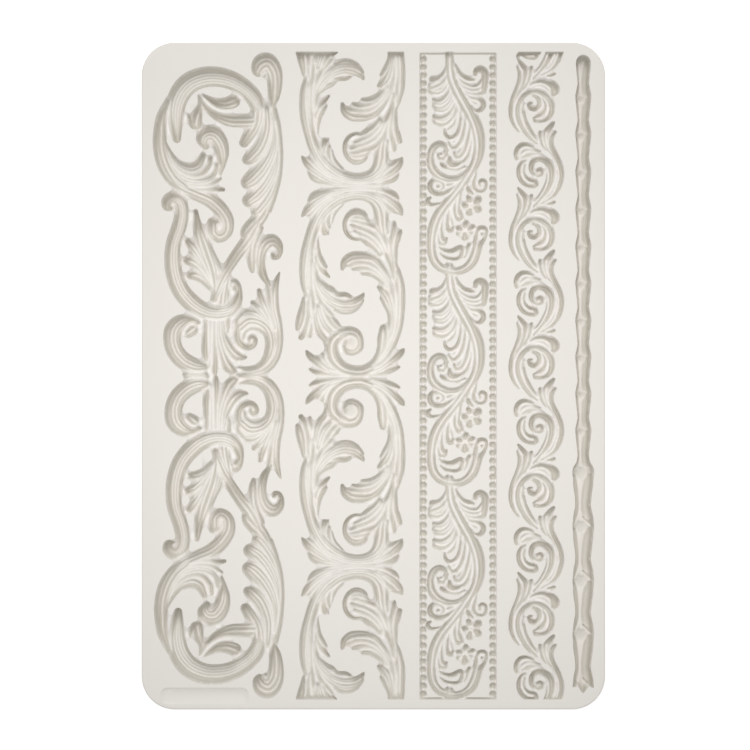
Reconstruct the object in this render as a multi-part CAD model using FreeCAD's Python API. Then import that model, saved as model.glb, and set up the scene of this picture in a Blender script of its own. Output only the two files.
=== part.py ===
import FreeCAD, Part
import math
import os

os.makedirs("parts", exist_ok=True)

# Driving sizes in millimetres. +X runs across the mould, +Y along its borders, +Z out of its open face.
left_margin = 3.4            # outer edge to the acanthus border
acanthus_width = 42.1
gap_acanthus_broad = 2.4
broad_width = 35.3
gap_broad_flower = 4.1
flower_width = 24.6
gap_flower_vine = 3.3
vine_width = 17.9
gap_vine_bamboo = 2.5
bamboo_width = 6.8           # at the wide knots
right_margin = 3.6
border_length = 203.8        # straight cut end to straight cut end
top_margin = 3.0
bottom_margin = 3.2
corner_radius = 10.5
edge_rounding = 0.8          # soft edge of the slab, top and bottom
floor_thickness = 3.0        # silicone left below the deepest recess
acanthus_depth = 5.0
broad_depth = 4.9
flower_depth = 3.2
vine_depth = 3.6
bamboo_depth = 5.0
bead_depth = 2.2
bead_channel_depth = 1.2     # shallow channels under the beads, and the frame lines
plaque_length = 27.8         # bare recess at the bottom left corner
plaque_height = 5.2
plaque_depth = 0.6
plaque_inset = 6.0           # plaque's left end to the edge of the slab
plaque_rise = 1.8            # plaque's lower edge to the edge of the slab
plaque_corner = 2.2          # radius of the plaque's corners

slab_width = (left_margin + acanthus_width + gap_acanthus_broad + broad_width + gap_broad_flower + flower_width
              + gap_flower_vine + vine_width + gap_vine_bamboo + bamboo_width + right_margin)
slab_length = top_margin + border_length + bottom_margin
slab_thickness = floor_thickness + max(acanthus_depth, broad_depth, flower_depth, vine_depth, bamboo_depth,
                                       bead_depth)


# The ornament is drawn as grooves. A groove is a row of (x, y, half width) points that a smooth stroke follows.

# Upper half of the acanthus border; the lower half is its mirror.
ACANTHUS = (
    # great arch and the tongue at its left end
    ((-61.8, 74.4, 1.3), (-62.2, 78.5, 2.2), (-62.3, 83.5, 2.9), (-61.2, 88, 3.3), (-58.3, 91.8, 3.4),
     (-54, 93.8, 3.3), (-49.5, 94.1, 3.2), (-45, 93.1, 3), (-41, 90.9, 2.8), (-38, 88, 2.7), (-36.5, 85, 2.4)),
    # left band and its fingers
    ((-64.6, 87, 0.8), (-66.7, 81.5, 1.6), (-67.2, 76, 2.1), (-67, 71.5, 2.3), (-65.6, 66.5, 2.5),
     (-63, 62.3, 2.4), (-60, 60, 2)),
    ((-66, 74.5, 0.5), (-64, 70.3, 0.8), (-61.5, 67, 1.2), (-58, 65.6, 1.5), (-55.3, 66.4, 1.5),
     (-54, 68.5, 1.1), (-53.6, 69.6, 0.9)),
    ((-66.3, 73, 0.6), (-64, 68, 0.9), (-60.5, 64.6, 1), (-57, 63.3, 1.1), (-53.9, 64, 1.2), (-51.9, 66.3, 1.1),
     (-51.3, 68.8, 0.8)),
    ((-64.5, 66.5, 0.9), (-61, 63, 1), (-57, 61.5, 1.1), (-53, 61.7, 1.2), (-50.2, 63.6, 1),
     (-49.3, 66.7, 0.8)),
    ((-60, 60.6, 1), (-55, 60.1, 1), (-51, 60.7, 1), (-48, 62.1, 0.5)),
    ((-60, 59, 1), (-54, 58.7, 1.1), (-50, 58.9, 1), (-47.2, 58.6, 0.7)),
    # main stem, ending in a curl
    ((-66, 66.5, 1), (-63.2, 62, 1.8), (-60, 59.3, 2.1), (-56, 57.4, 2.2), (-51.5, 55.4, 2.4), (-48, 52.3, 2.4),
     (-46.1, 48.8, 2.3), (-46.4, 45.3, 2.1), (-48.6, 43.8, 2), (-50.5, 45.2, 2), (-50.6, 47.6, 1.9)),
    ((-50.8, 48.4, 1.5), (-49.2, 48.5, 1), (-48.4, 47.2, 0.8), (-49, 46.2, 0.6)),
    # comma at the top right
    ((-31.9, 84.6, 0.8), (-31.3, 88, 1.9), (-31, 92, 2.4), (-31.4, 96, 2.7), (-33.2, 98.7, 2.9),
     (-35.3, 98.3, 2.8), (-36.6, 96.3, 1.8), (-36.3, 94.9, 1)),
    ((-34.3, 94.6, 1), (-34, 94.6, 1)),
    # wings inside the arch
    ((-53.6, 88.6, 0.3), (-51.5, 87, 1), (-49, 85.8, 1.6), (-46.3, 85.7, 2), (-44, 86.4, 2.2)),
    ((-55, 88.2, 0.3), (-53.4, 85.2, 0.9), (-51, 82.9, 1.3), (-48.2, 81.3, 1.7), (-45, 80.4, 2.1),
     (-41.5, 80.3, 2.2), (-38.5, 80.4, 2.2)),
    ((-55, 88, 0.3), (-54.7, 85, 0.8), (-55.6, 82, 1.8), (-56, 79.6, 2.2)),
    ((-58.2, 82.2, 0.5), (-57.5, 80.2, 1.2), (-56.5, 79, 1.2)),
    # shell curl
    ((-52.8, 72.4, 1.3), (-53.8, 74.4, 2), (-52.6, 76.1, 2.6), (-50.4, 75.9, 2.9), (-48.4, 73.3, 2.7),
     (-47.6, 70, 2.2), (-47.7, 66.5, 1.3), (-48.2, 63.4, 0.5)),
    # fan leaf on the right
    ((-36.6, 86, 2.2), (-36.7, 81.5, 2), (-37.6, 78.3, 1.9), (-39.3, 75.6, 1.9), (-40.7, 73.3, 1.6)),
    ((-33.8, 84.5, 1.6), (-33.5, 79.5, 1.9), (-34.2, 75.5, 2.2), (-36, 71.6, 2.4), (-38.6, 68.8, 2.2),
     (-39.8, 68, 1.6)),
    ((-31.7, 81, 1), (-31.3, 74.5, 1.5), (-32.5, 69.5, 2.1), (-34.8, 65.3, 2.7), (-37.6, 62.2, 3),
     (-39.5, 60.9, 2.3)),
    ((-30.2, 73, 1), (-31, 66.5, 1.7), (-33.3, 61.2, 2.3), (-36.3, 57.3, 2.7), (-39.2, 55.2, 2.2)),
    ((-29.8, 68, 0.8), (-30.8, 62, 1.5), (-32.8, 57, 2.1), (-35.5, 53.2, 2.3), (-37.1, 51.7, 1.6)),
    ((-31.3, 84, 1), (-29.9, 78, 1), (-29.3, 70, 1), (-29.8, 63, 1.1), (-31.3, 57.5, 1.3), (-33.2, 52.5, 1.5)),
    ((-33.3, 54, 1.6), (-35.3, 50.3, 2.1), (-37.7, 47.8, 2.3), (-39.6, 45.7, 2.1), (-40.3, 44.5, 1.6)),
    # diagonal stem and the drop beside it
    ((-36.5, 48.5, 2), (-39, 43.5, 2.2), (-42.3, 39.2, 1.9), (-45, 35.2, 1.8), (-47.4, 31.3, 1.6),
     (-49.2, 27.5, 1.4), (-50.3, 24, 1.1)),
    ((-36.3, 46.5, 1.8), (-38, 42, 1.8), (-38.5, 38, 1.5), (-38.4, 35, 1.2), (-38.1, 32.9, 0.7)),
    ((-45.3, 32.3, 0.6), (-46.5, 29.5, 1.6), (-47.3, 26, 2.2), (-47.6, 23.5, 2.2)),
    # small volute
    ((-32.8, 28.6, 0.6), (-34.6, 31.5, 1.3), (-35.5, 35, 1.5), (-35.4, 38.5, 1.7), (-34.1, 41.6, 2.1),
     (-31.9, 42.7, 2), (-30, 41.4, 1.5), (-29.4, 39.2, 1), (-30.1, 37.5, 0.9), (-31.4, 37.3, 0.9),
     (-31.7, 38.3, 0.7)),
    # horn and outer strip of the big spiral
    ((-29.5, 32.6, 0.3), (-30.6, 29.5, 1), (-31.2, 26, 1.4), (-31, 21, 1.5), (-30, 16.5, 1.4), (-29.5, 12, 1.2),
     (-29.9, 8, 1.2), (-31.2, 4.6, 1.2), (-33.6, 2, 1.2), (-37, 0.6, 1.1), (-41, 0.2, 1), (-43.3, 0.1, 0.6)),
    ((-42.4, 2.7, 0.4), (-39.5, 2.2, 0.9), (-36.3, 2.9, 1.1), (-33.9, 5, 1.4), (-32.6, 8, 1.7),
     (-32.4, 11.5, 1.8), (-33.6, 14.8, 2), (-36.2, 16.9, 2.1), (-39.5, 17.3, 2.3), (-42, 15.4, 2.1)),
    ((-42.6, 16, 1.4), (-42.9, 12.8, 1.3), (-42.1, 10.2, 1.4), (-40, 9, 1.2), (-38, 9.6, 1.1), (-37.3, 11.3, 1),
     (-38.3, 12.3, 1), (-39.1, 11.5, 0.8), (-38.8, 10.6, 0.6)),
    ((-34.6, 13.8, 0.8), (-36.3, 14.9, 1), (-38.5, 15.1, 1.1), (-40.6, 13.9, 1), (-41.2, 11.8, 0.8)),
    ((-33.4, 28.5, 0.6), (-32.8, 25, 1), (-32.2, 20, 1.3), (-31.2, 15, 1.2)),
    ((-36, 27, 0.7), (-35.5, 24.8, 1.1), (-34.5, 22, 1.3), (-33, 18.5, 1.3), (-31.7, 15.5, 1.2)),
    ((-38, 23.1, 0.8), (-36.5, 21.8, 1.1), (-34.8, 19.8, 1.3), (-33, 16.8, 1.2)),
    ((-41.8, 19.3, 1), (-40, 20, 1.3), (-37.8, 19.8, 1.4), (-35.5, 18.2, 1.3)),
    ((-41.6, 19.3, 1.1), (-43, 17.5, 1), (-43.8, 14.3, 0.6)),
    # left stem and cradle
    ((-63.6, 52.7, 0.8), (-64.9, 53.2, 1.4), (-65, 55, 1.7), (-63.2, 56.2, 2), (-61.1, 55, 2.3),
     (-60.3, 51.5, 2.3), (-61.1, 47, 2.4), (-62.8, 42, 2.4), (-63.2, 37, 2.6), (-62.6, 32, 2.7),
     (-60.8, 27.3, 2.8), (-57.6, 23.4, 2.9), (-53.8, 20.8, 2.7), (-49.6, 19.8, 2.5), (-45.6, 20.6, 2.4),
     (-43.2, 23, 1.9), (-42.3, 26.2, 1.2), (-42.9, 29.1, 1), (-44.2, 30, 0.8), (-45.2, 28.5, 0.6)),
    ((-43.7, 28.2, 0.9), (-43.5, 27.4, 0.9)),
    # centre leaf
    ((-55.9, 51.8, 0.8), (-55.5, 48.5, 1.3), (-54.6, 44, 2), (-52.9, 38.8, 2.2), (-51.2, 33.8, 1.9),
     (-50.2, 28.5, 1.2), (-50.2, 25, 0.8)),
    ((-53.5, 47.4, 0.3), (-52.5, 43, 0.9), (-50.8, 38.5, 1.1), (-49, 35, 1.1), (-48.4, 33, 0.9)),
    ((-58.4, 42.4, 1.2), (-57.2, 40.9, 1.5), (-54.9, 37.5, 1.4), (-52.6, 33, 1.2), (-50.8, 28.5, 0.8)),
    ((-57.6, 38.9, 0.7), (-56, 37, 1), (-54, 34, 1.1), (-52.1, 31, 0.9)),
    ((-58.8, 36.4, 1.4), (-57, 35.7, 1.6), (-54.2, 33.2, 1.4), (-51.9, 29.8, 1)),
    ((-56.8, 33.7, 0.7), (-54.6, 32.3, 1), (-52.2, 29.6, 0.9)),
    ((-57.8, 31.7, 1.35), (-56, 31.6, 1.6), (-53.6, 30.2, 1.3), (-51.4, 27.7, 0.9)),
    # lower left volute
    ((-58.2, 13.5, 1.7), (-57, 14.4, 2)),
    ((-55.2, 16.8, 0.9), (-57.5, 17.8, 1.3), (-60.5, 17.2, 2.2), (-62.8, 14.8, 2.8), (-63.3, 11.2, 2.8),
     (-62.2, 7.6, 2.8), (-59.8, 4.9, 2.8), (-56.6, 3.3, 2.6), (-53.6, 2.9, 1.7)),
    ((-59.5, 0.6, 0.7), (-56, 0.3, 1), (-52.8, 0.6, 0.9)),
    # stems below the cradle
    ((-52.9, 17.5, 0.8), (-53, 12, 1), (-53.1, 8, 1.1), (-52.7, 5, 0.8)),
    ((-51.4, 17, 0.7), (-51.5, 10, 0.7), (-51.4, 5, 0.6), (-52.5, 2.5, 0.7)),
    ((-50.3, 17, 0.8), (-50.3, 10, 0.9), (-50, 5, 1.2), (-50, 1.5, 1), (-50, 0.1, 0.3)),
    ((-49.1, 17, 0.7), (-48.7, 11, 1.1), (-47.5, 6.5, 1.5), (-46, 3.2, 1.7), (-44.2, 1.4, 1.4)),
    ((-47.8, 17, 0.7), (-47, 12.3, 1.2), (-45.4, 8.7, 1.7), (-43.3, 6.4, 1.7), (-41, 5.8, 0.9),
     (-39.8, 5.9, 0.3)),
    ((-46, 18, 1), (-45.9, 15, 0.8), (-46.3, 12.6, 0.2)),
    ((-44.2, 17.3, 0.25), (-44.5, 15, 0.3), (-44.4, 13.3, 0.2)),
)

# One unit of the broad scroll border; its neighbours are mirrors of it.
BROAD_SCROLL = (
    # lower volute
    ((-7.6, 10.4, 2.3), (-6.7, 10.2, 3.4)),
    ((-9.3, 9.2, 0.5), (-8.2, 7.8, 1.1), (-6.3, 7.5, 1.2), (-4.5, 8.8, 1.3), (-4.2, 11, 1.2), (-5.3, 13.3, 1.5),
     (-7.5, 14.1, 1.6), (-10.3, 13.6, 1.8)),
    ((-8.5, 13.4, 1.3), (-11, 12.6, 1.9), (-12.9, 10.4, 2.1), (-13.2, 7.6, 2.2), (-12.3, 4.8, 2.2),
     (-10, 2.6, 2.1), (-7, 1.5, 1.9), (-3.5, 1.4, 1.8), (-0.8, 2.4, 1.6)),
    ((-11.6, 8.4, 0.6), (-10.9, 5.6, 0.8), (-8.9, 3.5, 0.9), (-6, 2.5, 0.9), (-3, 2.7, 0.9), (-0.3, 4.2, 1),
     (1.3, 6.4, 1), (2, 9.2, 0.9), (2.1, 12, 0.9), (2.7, 15.4, 0.7)),
    # leaf at the lower left
    ((-21.1, 7.9, 0.4), (-20, 6.3, 1.1), (-17.8, 4.3, 1.2), (-15, 2.3, 1.2), (-11, 0.9, 1)),
    ((-20.1, 2.2, 0.4), (-18, 1.2, 0.9), (-14, 0.6, 0.9), (-8, 0.2, 0.8)),
    ((-17.8, 5.7, 0.9), (-16, 3.9, 1), (-14, 2.3, 1)),
    ((-16, 7, 0.6), (-15.4, 4.8, 0.8), (-13.9, 2.6, 0.8)),
    # leaf at the lower right
    ((9.6, 8.5, 0.35), (8.6, 7.2, 1.1), (6.5, 5.2, 1.2), (4, 3.3, 1.1), (1, 1.6, 1), (-3, 0.6, 0.8)),
    ((8.1, 2.8, 0.5), (6, 1.9, 0.9), (3, 0.9, 0.9), (-1, 0.2, 0.7)),
    # right stem
    ((7.5, 35.2, 0.15), (8, 32.5, 0.8), (9.1, 28.5, 0.8), (9.3, 24, 0.8), (9.1, 20, 0.8), (8.6, 16, 0.8),
     (7.6, 12.5, 0.8), (6.2, 9.3, 0.9), (4.2, 6, 1), (1.8, 3.7, 1), (-2, 2, 0.8)),
    ((7.4, 33, 0.7), (7.6, 29, 0.8), (7.8, 24, 0.7), (7.8, 19, 0.7), (7.3, 15, 0.7), (6.2, 11.6, 0.7),
     (4.6, 8.3, 0.8), (2.4, 5.2, 0.8)),
    ((1.2, 28.1, 0.3), (2.8, 27, 1.2), (4.5, 24.6, 1.4), (5.6, 21, 1.1), (6.1, 17, 0.9), (5.5, 13, 0.8),
     (4.2, 9.4, 0.9)),
    ((5.3, 28.5, 0.9), (6.3, 25, 0.9), (6.6, 21, 0.7), (6.9, 17.5, 0.5)),
    ((2.2, 24.6, 0.4), (3.6, 22.6, 0.8), (4.9, 19.6, 0.7), (5.2, 16, 0.7), (4.9, 13, 0.6)),
    ((3.3, 15.7, 0.7), (3.8, 13, 1), (3.5, 9.6, 1), (2.3, 6.6, 0.9), (0, 3.8, 0.8)),
    # long sliver on the right
    ((8.4, 45.5, 0.8), (7.7, 43.4, 1), (7, 41, 0.9), (6.9, 38, 0.8), (7.1, 35.4, 0.5), (7.4, 33, 0.5)),
    ((6.6, 49, 0.15), (6.6, 47.6, 0.7), (6.2, 45, 0.9), (5.6, 42, 1), (5.7, 38.5, 1), (6.2, 35, 0.8),
     (6.5, 31, 0.8)),
    # arch over the upper volute
    ((4.3, 45, 0.7), (4, 48.5, 0.8), (4, 51, 0.8), (3.2, 54, 1), (1.2, 56.3, 1.1), (-2, 57.6, 1),
     (-6, 57.8, 0.9), (-10, 57, 0.9), (-14, 55, 1), (-17, 52, 1.1), (-19.2, 48, 1.1), (-20.8, 43, 1.1),
     (-21.9, 38, 1.2), (-22.3, 33, 1.1), (-22, 28.5, 0.9), (-21.3, 25.4, 0.5), (-21.1, 24.1, 0.2)),
    ((3.9, 42, 1), (2.9, 45, 1.2), (2.2, 48, 1.7), (1.9, 50.8, 1.8), (1.1, 53.4, 1.6), (-1, 55.5, 1.3),
     (-5, 56.4, 1.1), (-9.5, 55.5, 1.2), (-13, 53.3, 1.2), (-16, 50.3, 1.1), (-18.2, 46, 1), (-19.6, 41, 0.9),
     (-20.5, 36, 0.8), (-20.9, 31, 0.8), (-20.5, 27.4, 0.7)),
    ((-17.5, 48.6, 0.6), (-18.7, 44, 0.7), (-19.4, 39.5, 0.7), (-19.8, 34, 0.8), (-19.7, 29, 0.8),
     (-19.3, 24.5, 0.9), (-19.1, 21.5, 0.9), (-19, 19.6, 0.6)),
    # leaf at the upper left
    ((-20.4, 55.1, 0.5), (-18.6, 56.9, 1.2), (-15.5, 58.1, 1), (-11, 58.8, 0.8), (-4, 59.1, 0.8), (3, 59, 0.6)),
    ((-22.5, 50.1, 0.35), (-20.8, 52.5, 1.2), (-18, 54.9, 1.2), (-14.5, 57, 1), (-10, 58.4, 0.8)),
    ((-20.5, 50.4, 0.4), (-19, 52, 0.8), (-16.5, 54.4, 0.8), (-13, 56.6, 0.7)),
    # leaf at the upper right
    ((9.1, 50.4, 0.25), (8.4, 52.4, 1), (6.8, 54.3, 1.2), (4.4, 56, 1.1), (1, 57.7, 0.8)),
    ((7.9, 55.8, 0.4), (6.6, 57.2, 0.9), (4.4, 58.2, 0.8), (1, 58.8, 0.7)),
    ((8.4, 50.9, 0.35), (6, 52.2, 0.8), (4.2, 53.6, 0.9), (2.6, 55.6, 0.8)),
    # fingers under the arch
    ((-15.3, 45.2, 1.1), (-15.9, 48, 0.8), (-15.7, 51, 0.6), (-14.3, 53.2, 0.6)),
    ((-14.1, 44.4, 0.3), (-14.4, 45.4, 0.5)),
    ((-13.9, 46.8, 0.6), (-14.2, 49, 0.7), (-13.5, 51.6, 0.6), (-11.8, 53.4, 0.5)),
    ((-12.9, 48.2, 0.25), (-12.6, 50, 0.45), (-11.7, 51.8, 0.5), (-9.7, 54, 0.5)),
    # dark sliver left of the land
    ((-17.4, 44.4, 0.15), (-17.4, 41, 0.5), (-17, 38, 0.8), (-16.1, 35.8, 1), (-14.9, 34.3, 0.6)),
    ((-13.9, 31.1, 0.45), (-15.2, 32.4, 0.8), (-16.9, 34.2, 0.8), (-18, 37, 0.6), (-18.3, 40, 0.4)),
    # fan leaf in the middle
    ((-17.2, 30.4, 0.5), (-15, 28.2, 1), (-13.3, 27.2, 1.2), (-12, 26.3, 0.8)),
    ((-13.3, 26, 0.6), (-10.6, 25.6, 0.9), (-8.8, 25.6, 0.9), (-7.2, 25, 0.6)),
    ((-3, 26.1, 0.3), (-3.8, 24.8, 0.9), (-6, 23.5, 1.2), (-9, 23, 1.1), (-12, 23.7, 1.1), (-14.5, 25.4, 1.1),
     (-16.8, 28, 1), (-18, 31.5, 0.9), (-18.6, 35, 0.7)),
    ((-3.3, 23.7, 0.5), (-5, 21.9, 0.9), (-8, 21, 1.1), (-11, 21.4, 1.1), (-13.8, 23, 1.1), (-16.2, 25.5, 1),
     (-17.8, 28.6, 0.9), (-18.9, 33, 0.7)),
    ((-4.9, 21.2, 0.5), (-7, 20.1, 0.6), (-9.5, 19.9, 0.6), (-12, 20.9, 0.8)),
    ((-12.8, 19.1, 0.45), (-14.2, 20.4, 0.9), (-16.2, 22.8, 0.9), (-17.6, 25.8, 0.9), (-18.6, 29.5, 0.7)),
    # long drop on the left
    ((-23.8, 14.8, 0.8), (-23.3, 16.8, 1.3), (-22.7, 19.5, 1.3), (-22.3, 22, 0.9), (-22, 24.5, 0.5)),
    ((-22.8, 12, 0.9), (-22, 13.4, 1), (-21.2, 15.5, 1), (-20.6, 18.4, 0.9), (-20.4, 21.5, 0.8),
     (-20.3, 25, 0.6)),
    ((-20, 12.3, 0.6), (-19.8, 15, 0.8), (-19.5, 18, 0.5)),
    # palm below the drop
    ((-18.3, 20, 0.9), (-18, 16.5, 1.1), (-16.9, 13.6, 1.2), (-15.2, 11.4, 1), (-14.6, 9, 0.8)),
    ((-17.5, 22, 0.9), (-16.5, 18.3, 1.1), (-15.2, 15.7, 1.2), (-13.2, 13.6, 1)),
    ((-15.8, 21, 0.9), (-14.7, 18.7, 1), (-13.2, 16.6, 1), (-11.5, 15, 0.9)),
    ((-12.9, 18.3, 0.5), (-11.8, 17.1, 0.8), (-10.7, 15.7, 0.6)),
    # upper volute
    ((-1.9, 49.4, 0.3), (-2.8, 50.8, 0.9), (-4.3, 51.6, 1.1), (-6, 51.7, 1.1), (-7.9, 50.5, 0.9),
     (-9, 48.4, 0.75), (-8.9, 46, 0.7), (-7.7, 44, 0.7), (-5.8, 43, 0.6), (-4, 43, 0.5)),
    ((-1.2, 48.6, 0.5), (-3.6, 49.7, 0.9), (-6, 50, 0.8), (-7.3, 49.4, 0.4)),
    ((-7.3, 49, 0.4), (-5.5, 48.9, 0.8), (-3.3, 48.2, 0.9), (-1, 47.6, 1), (1.2, 46.4, 1), (3, 43.8, 1),
     (4.3, 40.5, 0.9), (5.3, 37, 0.7)),
    ((-7.1, 47.5, 0.55), (-5, 46.7, 0.8), (-2.3, 45.8, 0.9), (0.2, 44.4, 0.9), (2.3, 42, 0.9),
     (3.5, 39.5, 0.8)),
    ((-6, 45.6, 0.5), (-3.6, 44.6, 0.8), (-1, 43.3, 0.9), (1.3, 41.2, 0.9), (2.8, 38.8, 0.8)),
    ((-3.9, 43, 0.45), (-2, 41.8, 0.9), (0.3, 40.2, 0.9), (2, 38.3, 0.9)),
    ((3.4, 39.5, 0.6), (4.4, 38, 1), (5.3, 36, 1), (6, 33.5, 0.8), (6.5, 30.5, 0.7)),
    # long leaf on the right with four tips
    ((-9.8, 33.6, 0.6), (-9, 35.9, 1.3), (-7, 37.5, 1.5), (-4, 37.9, 1.4), (-1.2, 37.5, 1.2), (1, 36.3, 1.1),
     (3, 34, 1), (4.6, 31.2, 0.9), (5.8, 28, 0.8), (6.6, 24, 0.6)),
    ((-8.4, 34.9, 0.6), (-6.6, 35.3, 0.8), (-4, 35.6, 0.8), (-1.2, 35.2, 0.8), (1, 33.9, 0.8), (3, 31.8, 0.8),
     (4.7, 29, 0.8)),
    ((-6.5, 33.5, 0.5), (-4, 33.9, 0.8), (-1.3, 33.6, 0.8), (1, 32.5, 0.8), (3, 30.5, 0.8), (4.5, 28, 0.8)),
    ((-3.6, 32.1, 0.5), (-1.5, 32, 0.7), (0.6, 31.3, 0.8), (2.5, 29.9, 0.8), (4, 28, 0.7)),
)

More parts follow.
